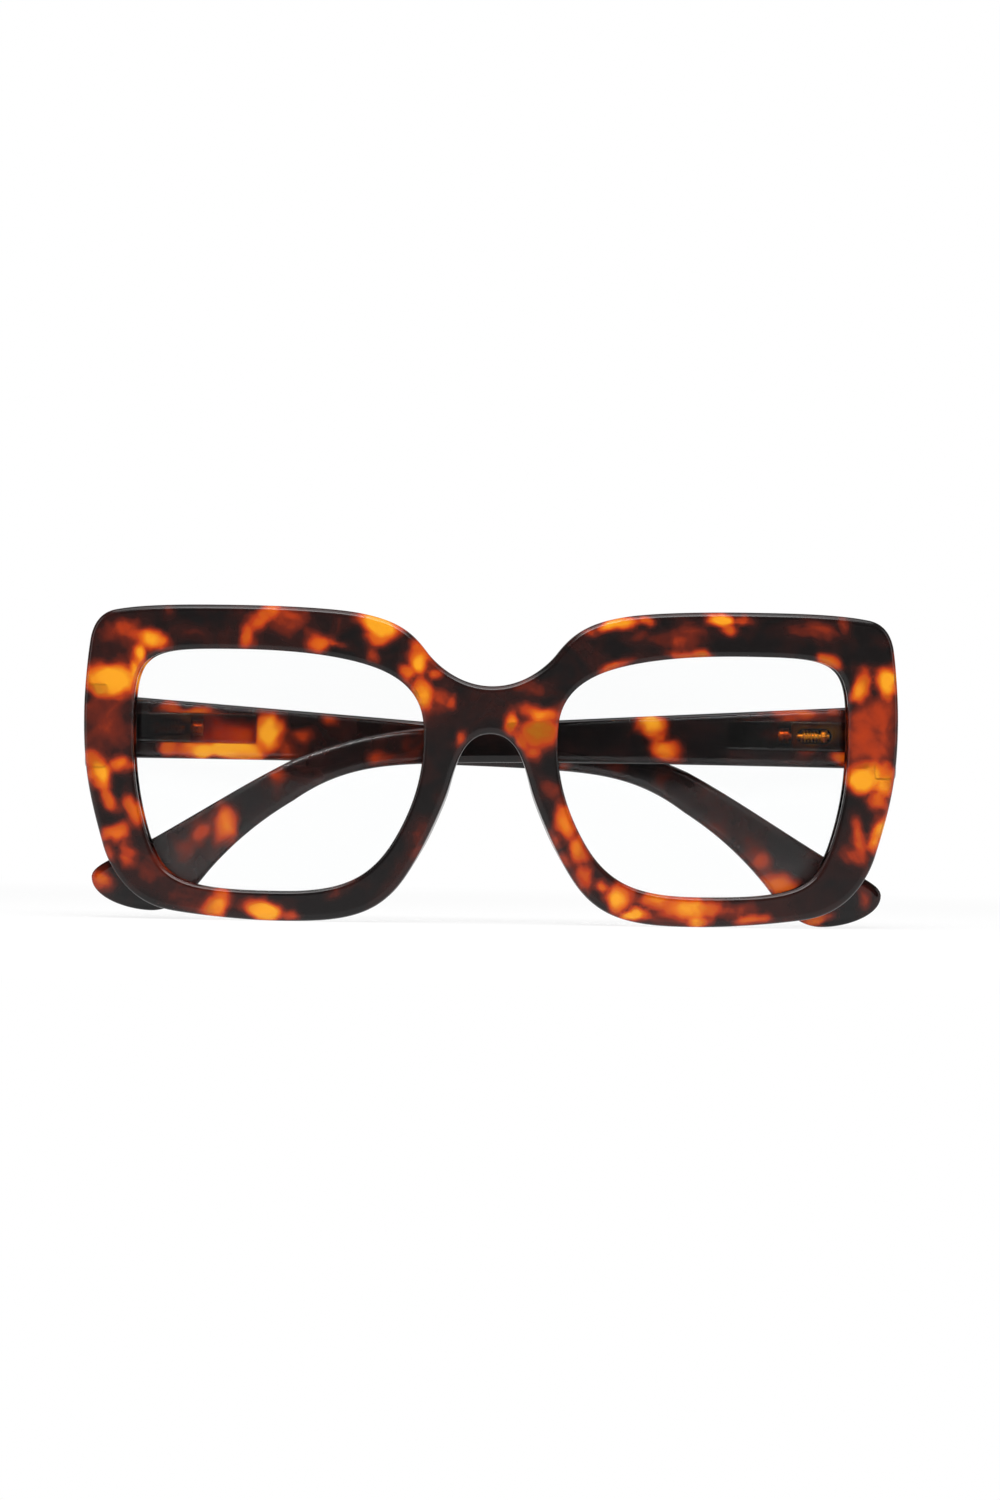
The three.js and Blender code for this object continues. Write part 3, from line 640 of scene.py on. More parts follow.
def bend(vertices):
    """Flat places on the front to their bent places in the frame."""
    sine = vertices[:, 0] / BEND_RADIUS
    reach = BEND_RADIUS - vertices[:, 1]
    y = BEND_RADIUS - reach * np.sqrt(1 - sine**2)
    return np.column_stack([reach * sine, y + FRONT_Y, vertices[:, 2]])


def unbend(vertices):
    """Bent places in the frame to their flat places on the front."""
    reach = BEND_RADIUS - (vertices[:, 1] - FRONT_Y)
    angle = np.arctan2(vertices[:, 0], reach)
    flat = BEND_RADIUS - np.hypot(vertices[:, 0], reach)
    return np.column_stack([BEND_RADIUS * np.sin(angle), flat, vertices[:, 2]])


def arm_axes(word):
    """The pin, and the directions along the arm, outwards through its thickness, and up."""
    joint = next(j for j in frame["joints"] if j["name"] == word + "_spring_travel")
    along = Vector(joint["axis"]).normalized()
    out = Vector((-along.y, along.x, 0)).normalized()
    if out.y < 0:
        out.negate()
    up = along.cross(out)
    if up.z < 0:
        up.negate()
    return pin_of(word), np.array(along), np.array(out), np.array(up)


def on_arm(word):
    """A placing of arm coordinates (along, depth, height above the hinge's middle)."""
    pin, along, out, up = arm_axes(word)

    def place(vertices):
        depth = vertices[:, 1] - PIN_INSET
        return (
            pin
            + np.outer(vertices[:, 0], along)
            + np.outer(depth, out)
            + np.outer(vertices[:, 2], up)
        )

    return place


def to_arm(word, vertices):
    """Places in the frame to arm coordinates."""
    pin, along, out, up = arm_axes(word)
    away = vertices - pin
    return np.column_stack([away @ along, away @ out + PIN_INSET, away @ up])


# Mottling -----------------------------------------------------------------------------------------


def mottle(across, up, depth, patches, seed):
    """How strongly each place takes the light colour, from the patches with wandering edges."""
    level = np.zeros(len(across))
    wander = np.empty((len(across), 3))
    for i, (x, z, y) in enumerate(zip(across, up, depth)):
        at = Vector((x * 0.2 + seed, z * 0.2, y * 0.15))
        fine = Vector((x * 0.6 + seed, z * 0.6, y * 0.4))
        for j, (offset, share) in enumerate(WANDERS):
            wander[i, j] = noise.noise(at + offset) + share * noise.noise(fine + offset)
    for x, z, wide, tall, turn, strength in patches:
        sine, cosine = math.sin(math.radians(turn)), math.cos(math.radians(turn))
        dx = across + PATCH_WANDER * wander[:, 0] - x
        dz = up + PATCH_WANDER * wander[:, 1] - z
        u = (dx * cosine + dz * sine) / (wide + PATCH_MARGIN)
        v = (dz * cosine - dx * sine) / (tall + PATCH_MARGIN)
        far = np.sqrt(u * u + v * v) + 0.3 * wander[:, 2]
        share = np.clip((PATCH_NONE_BEYOND - far) / PATCH_FADE, 0, 1)
        level = np.maximum(level, strength * share * share * (3 - 2 * share))
    return level


def store(made, values, name="mottle"):
    """Keeps one value a corner for the material to read."""
    attribute = made.data.attributes.new(name, "FLOAT", "POINT")
    attribute.data.foreach_set("value", values.astype(np.float32))


def corners(made):
    """A piece's corners in millimetres."""
    vertices = np.empty(len(made.data.vertices) * 3)
    made.data.vertices.foreach_get("co", vertices)
    return vertices.reshape(-1, 3) / MM


# Materials ----------------------------------------------------------------------------------------


class Socket:
    """A node's output that Python's operators add Math nodes to."""

    def __init__(self, tree, output):
        self.tree = tree
        self.output = output

    def math(self, operation, other, swapped=False):
        first, second = (other, self) if swapped else (self, other)
        return self.tree.node("ShaderNodeMath", {"operation": operation}, {0: first, 1: second})

    def __add__(self, other):
        return self.math("ADD", other)

    def __radd__(self, other):
        return self.math("ADD", other, True)

    def __sub__(self, other):
        return self.math("SUBTRACT", other)

    def __rsub__(self, other):
        return self.math("SUBTRACT", other, True)

    def __mul__(self, other):
        return self.math("MULTIPLY", other)

    def __rmul__(self, other):
        return self.math("MULTIPLY", other, True)


class Tree:
    """A node tree that is built one node at a time."""

    def __init__(self, tree):
        self.tree = tree
        tree.nodes.clear()

    def node(self, kind, settings=None, values=None, output=0):
        """Adds a node, with its settings first and then the values or links of its sockets."""
        made = self.tree.nodes.new(kind)
        for name, value in (settings or {}).items():
            if name == "stops":
                ramp = made.color_ramp
                while len(ramp.elements) < len(value):
                    ramp.elements.new(0.5)
                for element, (position, colour) in zip(ramp.elements, value):
                    element.position = position
                    element.color = (*colour, 1)
            else:
                setattr(made, name, value)
        for name, value in (values or {}).items():
            socket = made.inputs[name]
            if isinstance(value, Socket):
                self.tree.links.new(value.output, socket)
            else:
                socket.default_value = value
        return Socket(self, made.outputs[output]) if len(made.outputs) else made

    def smooth_step(self, value, low, high):
        return self.node(
            "ShaderNodeMapRange",
            {"interpolation_type": "SMOOTHSTEP"},
            {"Value": value, "From Min": low, "From Max": high},
        )

    def noise(self, place, scale, detail=2.0, rough=0.5, distortion=0.0):
        values = {"Vector": place, "Scale": scale, "Detail": detail}
        values.update({"Roughness": rough, "Distortion": distortion})
        return self.node("ShaderNodeTexNoise", {}, values)


def new_material(name):
    """An empty material and its node tree."""
    made = bpy.data.materials.new(name)
    made.use_nodes = True
    return made, Tree(made.node_tree)


def tortoise_ramp(look):
    """The plastic's colours from its densest zones to its lightest."""
    return [(stop, tuple(getattr(look, name)[:3])) for name, stop in COLOUR_STOPS.items()]


def tortoise(name, look, gloss):
    """Mottled plastic: near-black where it is dense, and clear amber where the patches are light."""
    made, tree = new_material(name)
    place = tree.node("ShaderNodeTexCoord", output="Object")
    base = tree.node("ShaderNodeAttribute", {"attribute_name": "mottle"}, output="Fac")
    cloud = tree.noise(place, look.cloud_scale, 2.0, 0.5, 1.5)
    speck = tree.noise(place, look.cloud_scale * 6, 3.0, 0.65)
    broad = tree.noise(place, look.cloud_scale * 0.5, 2.0, 0.5, 0.8)
    warm = tree.smooth_step(broad, 0.42, 0.66)
    level = base * 1.02 + (cloud - 0.5) * look.cloud_share * (1 - base * 0.45)
    level = level + (speck - 0.5) * look.speck_share
    level = level + warm * (1 - base) * 0.2
    colour = tree.node("ShaderNodeValToRGB", {"stops": tortoise_ramp(look)}, {"Fac": level})
    haze = tree.noise(place, 900.0, 2.0)
    rough = gloss + (haze - 0.5) * 0.06
    ripple = tree.noise(place, 160.0, 2.0)
    bump = tree.node("ShaderNodeBump", {}, {"Strength": 0.06, "Distance": 0.0002, "Height": ripple})
    solid = tree.node(
        "ShaderNodeBsdfPrincipled",
        {},
        {
            "Base Color": colour,
            "Roughness": rough,
            "IOR": 1.49,
            "Specular IOR Level": 0.34,
            "Normal": bump,
        },
    )
    clear = tree.node(
        "ShaderNodeBsdfPrincipled",
        {},
        {
            "Base Color": colour,
            "Roughness": rough * 0.2,
            "IOR": 1.15,
            "Transmission Weight": 1.0,
            "Coat Weight": 0.4,
            "Coat Roughness": 0.12,
            "Normal": bump,
        },
    )
    share = tree.smooth_step(level, look.clear_from, look.clear_to) * look.clear_most
    # Light that is already inside the plastic always leaves it, tinted by the zone that it crosses.
    inside = tree.node("ShaderNodeNewGeometry", output="Backfacing")
    share = share * (1 - inside) + inside
    both = tree.node("ShaderNodeMixShader", {}, {"Fac": share, 1: solid, 2: clear})
    tree.node("ShaderNodeOutputMaterial", {}, {"Surface": both})
    return made


def amber_cover(name, look):
    """Thin tinted panel that the slider and the spring show through."""
    made, tree = new_material(name)
    place = tree.node("ShaderNodeTexCoord", output="Object")
    base = tree.node("ShaderNodeAttribute", {"attribute_name": "mottle"}, output="Fac")
    cloud = tree.noise(place, look.cloud_scale, 3.0, 0.6, 0.6)
    level = base + (cloud - 0.5) * 0.3
    colour = tree.node("ShaderNodeValToRGB", {"stops": COVER_STOPS}, {"Fac": level})
    haze = tree.noise(place, 700.0, 2.0)
    shader = tree.node(
        "ShaderNodeBsdfPrincipled",
        {},
        {
            "Base Color": colour,
            "Roughness": 0.01 + haze * 0.03,
            "IOR": 1.15,
            "Transmission Weight": 1.0,
            "Coat Weight": 0.7,
        },
    )
    tree.node("ShaderNodeOutputMaterial", {}, {"Surface": shader})
    return made


def clear_plastic(name, tint):
    """Polished clear lens, with the faintest haze."""
    made, tree = new_material(name)
    place = tree.node("ShaderNodeTexCoord", output="Object")
    haze = tree.noise(place, 60.0, 2.0)
    values = {"Base Color": tuple(tint), "Roughness": haze * 0.012, "IOR": 1.12}
    values["Coat Weight"] = 0.15
    values["Transmission Weight"] = 1.0
    shader = tree.node("ShaderNodeBsdfPrincipled", {}, values)
    tree.node("ShaderNodeOutputMaterial", {}, {"Surface": shader})
    return made


def metal(name, colour, gloss, metallic, scale):
    """Stamped or turned metal, with fine tool marks and worn spots."""
    made, tree = new_material(name)
    place = tree.node("ShaderNodeTexCoord", output="Object")
    marks = tree.noise(place, scale, 4.0, 0.7)
    wear = tree.smooth_step(tree.noise(place, scale * 0.3, 3.0), 0.55, 0.72)
    pale = tuple(min(1.0, c * 1.8 + 0.05) for c in colour[:3])
    shade = tree.node(
        "ShaderNodeMix",
        {"data_type": "RGBA"},
        {MIX_FACTOR: wear * 0.6, MIX_FIRST: tuple(colour), MIX_SECOND: (*pale, 1)},
        output=MIX_RESULT,
    )
    bump = tree.node("ShaderNodeBump", {}, {"Strength": 0.25, "Distance": 0.00004, "Height": marks})
    values = {"Base Color": shade, "Metallic": metallic, "Roughness": gloss + (marks - 0.5) * 0.2}
    values["Normal"] = bump
    shader = tree.node("ShaderNodeBsdfPrincipled", {}, values)
    tree.node("ShaderNodeOutputMaterial", {}, {"Surface": shader})
    return made


def made_material(name, maker, *settings):
    """The material of that name, made at its first use."""
    return bpy.data.materials.get(name) or maker(name, *settings)


# Geometry nodes: a wire wound along X, for springs and threads ------------------------------------


def coil_tree():
    """A node group that winds a wire, with its size as inputs."""
    found = bpy.data.node_groups.get("Wound Wire")
    if found:
        return found
    group = bpy.data.node_groups.new("Wound Wire", "GeometryNodeTree")
    face = group.interface
    face.new_socket("Geometry", in_out="INPUT", socket_type="NodeSocketGeometry")
    for name in ("Radius", "Length", "Turns", "Wire Radius"):
        face.new_socket(name, in_out="INPUT", socket_type="NodeSocketFloat")
    face.new_socket("Steps", in_out="INPUT", socket_type="NodeSocketInt")
    face.new_socket("Material", in_out="INPUT", socket_type="NodeSocketMaterial")
    face.new_socket("Geometry", in_out="OUTPUT", socket_type="NodeSocketGeometry")
    nodes, links = group.nodes, group.links
    given = nodes.new("NodeGroupInput")
    spiral = nodes.new("GeometryNodeCurveSpiral")
    wire = nodes.new("GeometryNodeCurvePrimitiveCircle")
    wire.inputs["Resolution"].default_value = 12
    tube = nodes.new("GeometryNodeCurveToMesh")
    tube.inputs["Fill Caps"].default_value = True
    real = nodes.new("GeometryNodeRealizeInstances")
    paint = nodes.new("GeometryNodeSetMaterial")
    out = nodes.new("NodeGroupOutput")
    for name, socket in (
        ("Steps", spiral.inputs["Resolution"]),
        ("Turns", spiral.inputs["Rotations"]),
        ("Radius", spiral.inputs["Start Radius"]),
        ("Radius", spiral.inputs["End Radius"]),
        ("Length", spiral.inputs["Height"]),
        ("Wire Radius", wire.inputs["Radius"]),
        ("Material", paint.inputs["Material"]),
    ):
        links.new(given.outputs[name], socket)
    links.new(spiral.outputs["Curve"], tube.inputs["Curve"])
    links.new(wire.outputs["Curve"], tube.inputs["Profile Curve"])
    links.new(tube.outputs["Mesh"], real.inputs["Geometry"])
    links.new(real.outputs["Geometry"], paint.inputs["Geometry"])
    links.new(paint.outputs["Geometry"], out.inputs["Geometry"])
    return group


def wound(radius, length, turns, wire, steps, material):
    """A coil's vertices and faces about Z from z = 0, in millimetres."""
    group = coil_tree()
    holder = bpy.data.objects.new("Coil", bpy.data.meshes.new("Coil"))
    bpy.context.scene.collection.objects.link(holder)
    modifier = holder.modifiers.new("Coil", "NODES")
    modifier.node_group = group
    values = {"Radius": radius, "Length": length, "Turns": turns, "Wire Radius": wire}
    values.update({"Steps": steps, "Material": material})
    for item in group.interface.items_tree:
        if item.in_out == "INPUT" and item.name in values:
            modifier[item.identifier] = values[item.name]
    graph = bpy.context.evaluated_depsgraph_get()
    mesh = bpy.data.meshes.new_from_object(holder.evaluated_get(graph))
    bpy.data.objects.remove(holder)
    vertices = np.array([v.co for v in mesh.vertices])
    faces = [tuple(p.vertices) for p in mesh.polygons]
    bpy.data.meshes.remove(mesh)
    return vertices, faces


def together(*solids):
    """Several closed solids in one mesh."""
    vertices, faces, base = [], [], 0
    for points, polygons in solids:
        vertices.append(points)
        faces += [tuple(int(i) + base for i in polygon) for polygon in polygons]
        base += len(points)
    return np.vstack(vertices), faces


# Settings -----------------------------------------------------------------------------------------


def size_setting(name, description, default):
    """A size in millimetres for the panel."""
    return bpy.props.FloatProperty(
        name=name, description=description, default=default, min=0.0, soft_max=5.0
    )


def colour_setting(name, description, default):
    """A colour for the panel."""
    return bpy.props.FloatVectorProperty(
        name=name, description=description, default=(*default, 1), size=4, subtype="COLOR", min=0, max=1
    )


class GlassesSizes(bpy.types.PropertyGroup):
    """Sizes of the finished pieces that the frame leaves free, in millimetres."""

    front_edge: size_setting("Front edge", "Rounding of the front's outer edges", 0.95)
    opening_edge: size_setting("Opening edge", "Rounding of the edges round each lens", 0.7)
    temple_edge: size_setting("Temple edge", "Rounding of the temples' long edges", 1.05)
    cover_edge: size_setting("Cover edge", "Rounding of the cover panels", 0.12)
    metal_edge: size_setting("Metal edge", "Rounding of the hinge metal", 0.15)
    pad_height: size_setting("Pad height", "How far the nose pads stand off the back", PAD_HEIGHT)
    front_mesh: size_setting("Front mesh", "Spacing of the front's mesh", 0.62)
    temple_mesh: size_setting("Temple mesh", "Spacing of the temples' mesh", 0.8)


class GlassesColours(bpy.types.PropertyGroup):
    """Colours of the mottled plastic, the lenses and the metal."""

    dark: colour_setting("Dark", "Densest zones", (0.0055, 0.004, 0.004))
    brown: colour_setting("Brown", "Edges of the dense zones", (0.024, 0.0058, 0.0045))
    red: colour_setting("Red", "Dark red zones", (0.12, 0.013, 0.005))
    ember: colour_setting("Ember", "Red-orange zones", (0.38, 0.034, 0.005))
    orange: colour_setting("Orange", "Orange zones", (0.68, 0.125, 0.007))
    honey: colour_setting("Honey", "Lightest zones", (0.88, 0.35, 0.016))
    lens: colour_setting("Lens", "Clear lens plastic", (0.985, 0.992, 0.992))
    hinge: colour_setting("Hinge", "Dark hinge metal", (0.11, 0.1, 0.095))
    steel: colour_setting("Steel", "Screws, nuts and springs", (0.75, 0.72, 0.66))
    cloud_scale: bpy.props.FloatProperty(
        name="Cloud scale", description="Mottling clouds in a metre", default=100.0, min=1
    )
    cloud_share: bpy.props.FloatProperty(
        name="Cloud share", description="How much the clouds shift the colour", default=0.72
    )
    speck_share: bpy.props.FloatProperty(
        name="Speck share", description="How much the fine specks shift the colour", default=0.13
    )
    clear_from: bpy.props.FloatProperty(
        name="Clear from", description="Level at which the plastic starts to clear", default=0.5
    )
    clear_to: bpy.props.FloatProperty(
        name="Clear to", description="Level at which the plastic is clear", default=0.85
    )
    clear_most: bpy.props.FloatProperty(
        name="Clear most", description="How clear the lightest plastic is", default=0.62, min=0, max=1
    )


class GlassesStage(bpy.types.PropertyGroup):
    """The light and the camera."""

    camera_away: bpy.props.FloatProperty(
        name="Camera distance", description="From the front", default=1.5, unit="LENGTH"
    )
    camera_height: bpy.props.FloatProperty(
        name="Camera height", description="Above the floor", default=0.03084, unit="LENGTH"
    )
    camera_roll: bpy.props.FloatProperty(
        name="Camera roll",
        description="Turn about its axis",
        default=math.radians(-0.88),
        subtype="ANGLE",
    )
    focal_length: bpy.props.FloatProperty(
        name="Focal length", description="In millimetres", default=203.7, min=10
    )
    overhead: bpy.props.FloatProperty(
        name="Overhead", description="Power of the overhead box", default=4.5, subtype="POWER"
    )
    key: bpy.props.FloatProperty(
        name="Key", description="Power of the high front box", default=11.0, subtype="POWER"
    )
    side: bpy.props.FloatProperty(
        name="Sides", description="Power of each side box", default=1.4, subtype="POWER"
    )


# Pieces -------------------------------------------------------------------------------------------


def step(value, low, high):
    """0 below low, 1 above high, and smooth between them."""
    share = np.clip((value - low) / (high - low), 0, 1)
    return share * share * (3 - 2 * share)


def front_outlines(spacing):
    """The front's outline and its two openings, drawn flat."""
    half = np.vstack([trace(OUTLINE_START, OUTLINE, CURVE_STEPS), [OUTLINE[-1][-1]]])
    other = half[1:-1][::-1] * (-1, 1)
    outer = spread(np.vstack([half, other]), spacing)
    opening = spread(trace(OPENING_START, OPENING, OPENING_STEPS), spacing)
    return outer, opening, spread(opening * (-1, 1), spacing)


def raise_pads(vertices, outer, height):
    """Swells the back along the nose edge, and leans the swelling towards the nose."""
    low, high = NOSE_EDGE_HEIGHTS
    beside = np.abs(outer[:, 0]) < NOSE_EDGE_REACH
    nose = outer[beside & (outer[:, 1] < high) & (outer[:, 1] > low)]
    flat = np.column_stack([np.abs(vertices[:, 0]), vertices[:, 2]])
    away = np.full(len(flat), np.inf)
    near = np.nonzero((flat[:, 0] < PAD_ZONE_REACH) & (flat[:, 1] < PAD_HIGH + 1))[0]
    for start in range(0, len(near), 2000):
        some = near[start : start + 2000]
        gaps = flat[some][:, None, :] - nose[None, :, :]
        away[some] = np.sqrt((gaps**2).sum(2)).min(1)
    ends = step(vertices[:, 2], PAD_LOW, PAD_LOW + PAD_LOW_FADE)
    ends *= 1 - step(vertices[:, 2], PAD_HIGH - PAD_HIGH_FADE, PAD_HIGH)
    rise = height * ends * (1 - step(away, PAD_FULL_WITHIN, PAD_NONE_BEYOND))
    share = np.clip((vertices[:, 1] - PAD_ROOT) / (FRONT_THICKNESS - PAD_ROOT), 0, 1)
    vertices[:, 1] += share * rise
    vertices[:, 0] -= np.sign(vertices[:, 0]) * PAD_FLARE * share * rise / PAD_HEIGHT
    return vertices


def lug_solid(side):
    """The end lug behind the front's edge, with its rear face square to the opened temple."""
    reach = TEMPLE_START - END_GAP
    root = PIN_BACK_OF_FRONT - LUG_ROOT_AHEAD_OF_PIN
    rear = PIN_BACK_OF_FRONT + reach / math.cos(math.radians(OPEN_SPLAY))
    low, high = HINGE_Z - LUG_HEIGHT / 2, HINGE_Z + LUG_HEIGHT / 2
    outline = rectangle(root, low, rear, high, LUG_CORNER)
    inner, outer = PIN_X - LUG_INBOARD, LUG_OUTER_X
    vertices, faces = plate(spread(outline, 0.6), [], inner, outer, LUG_EDGE, 0.7)
    back, across = vertices[:, 0], vertices[:, 1]
    lean = LUG_LEAN * (1 - step(back, LUG_STRAIGHT_FROM, rear))
    across = across - lean * (across - inner) / (outer - inner)
    splay = (across - PIN_X) * math.tan(math.radians(OPEN_SPLAY))
    back = back - splay * np.clip((back - LUG_STRAIGHT_FROM) / (rear - LUG_STRAIGHT_FROM), 0, 1)
    return np.column_stack([side * across, back + FRONT_Y, vertices[:, 2]]), faces


def notch_solid(side):
    """The room in a lug for the barrels and the screw's head."""
    half = BARREL_STACK_HALF + SCREW_HEAD_HEIGHT + BARREL_GAP
    near = PIN_BACK_OF_FRONT - LUG_NOTCH_AHEAD_OF_PIN + FRONT_Y
    inner, outer = PIN_X - LUG_INBOARD - 1, PIN_X + BARREL_RADIUS + LUG_NOTCH_CLEARANCE
    left, right = sorted((side * inner, side * outer))
    return block((left, near, HINGE_Z - half), (right, near + LUG_NOTCH_LENGTH, HINGE_Z + half))


class GLASSES_OT_front(bpy.types.Operator):
    """Make the bent front with its rims, bridge, nose pads and end lugs"""

    bl_idname = "glasses.front"
    bl_label = "Front"

    def execute(self, context):
        sizes = context.scene.glasses_sizes
        outer, left, right = front_outlines(sizes.front_mesh * 0.75)
        half = LENS_THICKNESS / 2 + GROOVE_CLEARANCE
        groove = (LENS_PLANE - half, LENS_PLANE + half, LENS_LIP + GROOVE_CLEARANCE)
        vertices, faces = plate(
            outer,
            [left, right],
            0,
            FRONT_THICKNESS,
            sizes.front_edge,
            sizes.front_mesh,
            sizes.opening_edge,
            groove,
            6,
        )
        vertices = bend(raise_pads(vertices, outer, sizes.pad_height))
        front = object_of("front", (vertices, faces))
        lugs = []
        for side in SIDES.values():
            lug = object_of("lug", lug_solid(side))
            lugs.append(combine(lug, [object_of("notch", notch_solid(side))], "DIFFERENCE"))
        combine(front, lugs, "UNION")
        places = unbend(corners(front))
        store(front, mottle(places[:, 0], places[:, 2], places[:, 1], FRONT_PATCHES, 3.1))
        look = context.scene.glasses_colours
        paint = made_material("Tortoise front", tortoise, look, FRONT_ROUGHNESS)
        finished(front, "front", "front_frame", paint, "front")
        return {"FINISHED"}


class GLASSES_OT_lenses(bpy.types.Operator):
    """Make the two domed lenses in their grooves"""

    bl_idname = "glasses.lenses"
    bl_label = "Lenses"

    def execute(self, context):
        _, opening, _ = front_outlines(0.8)
        edge = inset(opening, -LENS_LIP)
        vertices, faces = plate(edge, [], -LENS_THICKNESS / 2, LENS_THICKNESS / 2, 0.2, 1.6, steps=3)
        away = vertices[:, [0, 2]] - LENS_CENTRE
        rim = edge - LENS_CENTRE
        turn = np.arctan2(rim[:, 1], rim[:, 0])
        order = np.argsort(turn)
        reach = np.interp(
            np.arctan2(away[:, 1], away[:, 0]),
            turn[order],
            np.linalg.norm(rim, axis=1)[order],
            period=2 * math.pi,
        )
        share = np.linalg.norm(away, axis=1) / reach
        vertices[:, 1] += LENS_PLANE - LENS_DOME * (1 - np.clip(share, 0, 1) ** 2)
        look = context.scene.glasses_colours
        paint = made_material("Lens plastic", clear_plastic, look.lens)
        for word, side in SIDES.items():
            lens = object_of("lens", (bend(vertices * (side, 1, 1)), faces))
            finished(lens, "front", word + "_lens", paint, "lens_" + word)
        return {"FINISHED"}


def hole(radius, low, high):
    """A round bar to cut with, or to lay along the arm."""
    return lathe([(0, low), (radius, low), (radius, high), (0, high)])


def barrel(index, edge):
    """One of the three barrels, counted from the bottom, with its two heights."""
    low = index * (BARREL_HEIGHT + BARREL_GAP) - BARREL_STACK_HALF
    high = low + BARREL_HEIGHT
    wide = BARREL_RADIUS
    points = [(0, low), (wide - edge, low), (wide - edge * 0.3, low + edge * 0.3)]
    points += [(wide, low + edge), (wide, high - edge), (wide - edge * 0.3, high - edge * 0.3)]
    points += [(wide - edge, high), (0, high)]
    return lathe(points), low, high


class GLASSES_OT_hinges(bpy.types.Operator):
    """Make the anchors on the front, the slotted pins and the sliders with their windows"""

    bl_idname = "glasses.hinges"
    bl_label = "Hinges"

    def execute(self, context):
        edge = context.scene.glasses_sizes.metal_edge
        look = context.scene.glasses_colours
        dark = made_material("Hinge metal", metal, look.hinge, *HINGE_METAL.values())
        steel = made_material("Screw steel", metal, look.steel, *SCREW_STEEL.values())
        for word, side in SIDES.items():
            self.anchor(word, side, edge, dark)
            self.screw(word, edge, steel)
            self.slider(word, edge, dark)
        return {"FINISHED"}

    def anchor(self, word, side, edge, paint):
        pin = pin_of(word)
        near = PIN_BACK_OF_FRONT - ANCHOR_AHEAD_OF_PIN + ANCHOR_GAP + FRONT_Y - pin[1]
        tall = BARREL_STACK_HALF
        middle, low, high = barrel(1, edge)
        sheet = block((-ANCHOR_INBOARD, near, -tall), (ANCHOR_OUTBOARD, near + ANCHOR_PLATE, tall), edge)
        web = block((-ANCHOR_WEB / 2, near + ANCHOR_WEB_SINK, low), (ANCHOR_WEB / 2, 0, high))

        def place(vertices):
            return vertices * (side, 1, 1) + pin

        made = object_of("anchor", middle, place)
        combine(made, [object_of("web", web, place), object_of("sheet", sheet, place)], "UNION")
        combine(made, [object_of("bore", hole(PIN_HOLE, low - 1, high + 1), place)], "DIFFERENCE")
        finished(made, "front", word + "_hinge_anchor", paint, "hinge_anchor_" + word)

    def screw(self, word, edge, paint):
        pin = pin_of(word)
        low = -BARREL_STACK_HALF
        seat = -low + SCREW_HEAD_GAP
        top = seat + SCREW_HEAD_HEIGHT
        wide = SCREW_HEAD_RADIUS
        points = [(0, low), (PIN_RADIUS - 0.1, low), (PIN_RADIUS, low + 0.1), (PIN_RADIUS, seat)]
        points += [(wide - 0.08, seat), (wide, seat + 0.08), (wide, top - edge)]
        points += [(wide - edge * 0.4, top - edge * 0.35), (wide - edge * 1.4, top), (0, top)]
        slot = block((-SLOT_WIDTH / 2, -3, top - SLOT_DEPTH), (SLOT_WIDTH / 2, 3, top + 1))

        def place(vertices):
            return vertices + pin

        made = object_of("screw", lathe(points), place)
        combine(made, [object_of("slot", slot, place)], "DIFFERENCE")
        finished(made, "front", word + "_hinge_screw", paint, "hinge_screw_" + word)

    def slider(self, word, edge, paint):
        place = on_arm(word)
        low, high = COVER_THICKNESS + SLIDER_CLEARANCE, POCKET_DEPTH - SLIDER_CLEARANCE
        outline = spread(rectangle(SLIDER_START, -SLIDER_HALF, SLIDER_END, SLIDER_HALF, 0.5), 0.25)
        window = rectangle(WINDOW_START, -WINDOW_HALF, WINDOW_END, WINDOW_HALF, WINDOW_HALF - 0.01, 16)
        tongue = plate(outline, [spread(window, 0.2)], low, high, edge, 0, edge * 0.8, steps=3)
        made = object_of("slider", tongue, place)
        joined = []
        for index in (0, 2):
            ring, bottom, top = barrel(index, edge)
            joined.append(object_of("ring", moved(ring, 0, PIN_INSET, 0), place))
            web = block((0, low - 0.2, bottom), (SLIDER_START + 0.2, high - 0.3, top))
            joined.append(object_of("web", web, place))
        combine(made, joined, "UNION")
        bore = moved(hole(PIN_HOLE, -5, 5), 0, PIN_INSET, 0)
        guide = along_x(hole(ROD_RADIUS + FIT, WINDOW_END - 1, SLIDER_END + 1), (SLIDE_DEPTH, 0))
        combine(made, [object_of("bore", bore, place), object_of("guide", guide, place)], "DIFFERENCE")
        name = "hinge_slider_" + word
        finished(made, word + "_slider", word + "_hinge_slider", paint, name)


def thickness_share(along):
    """How thick the temple is at a place along it, as a share of its thickness at the hinge."""
    share = np.clip((along - TAPER[0]) / (TAPER[1] - TAPER[0]), 0, 1)
    return 1 + (TIP_THICKNESS / TEMPLE_THICKNESS - 1) * share


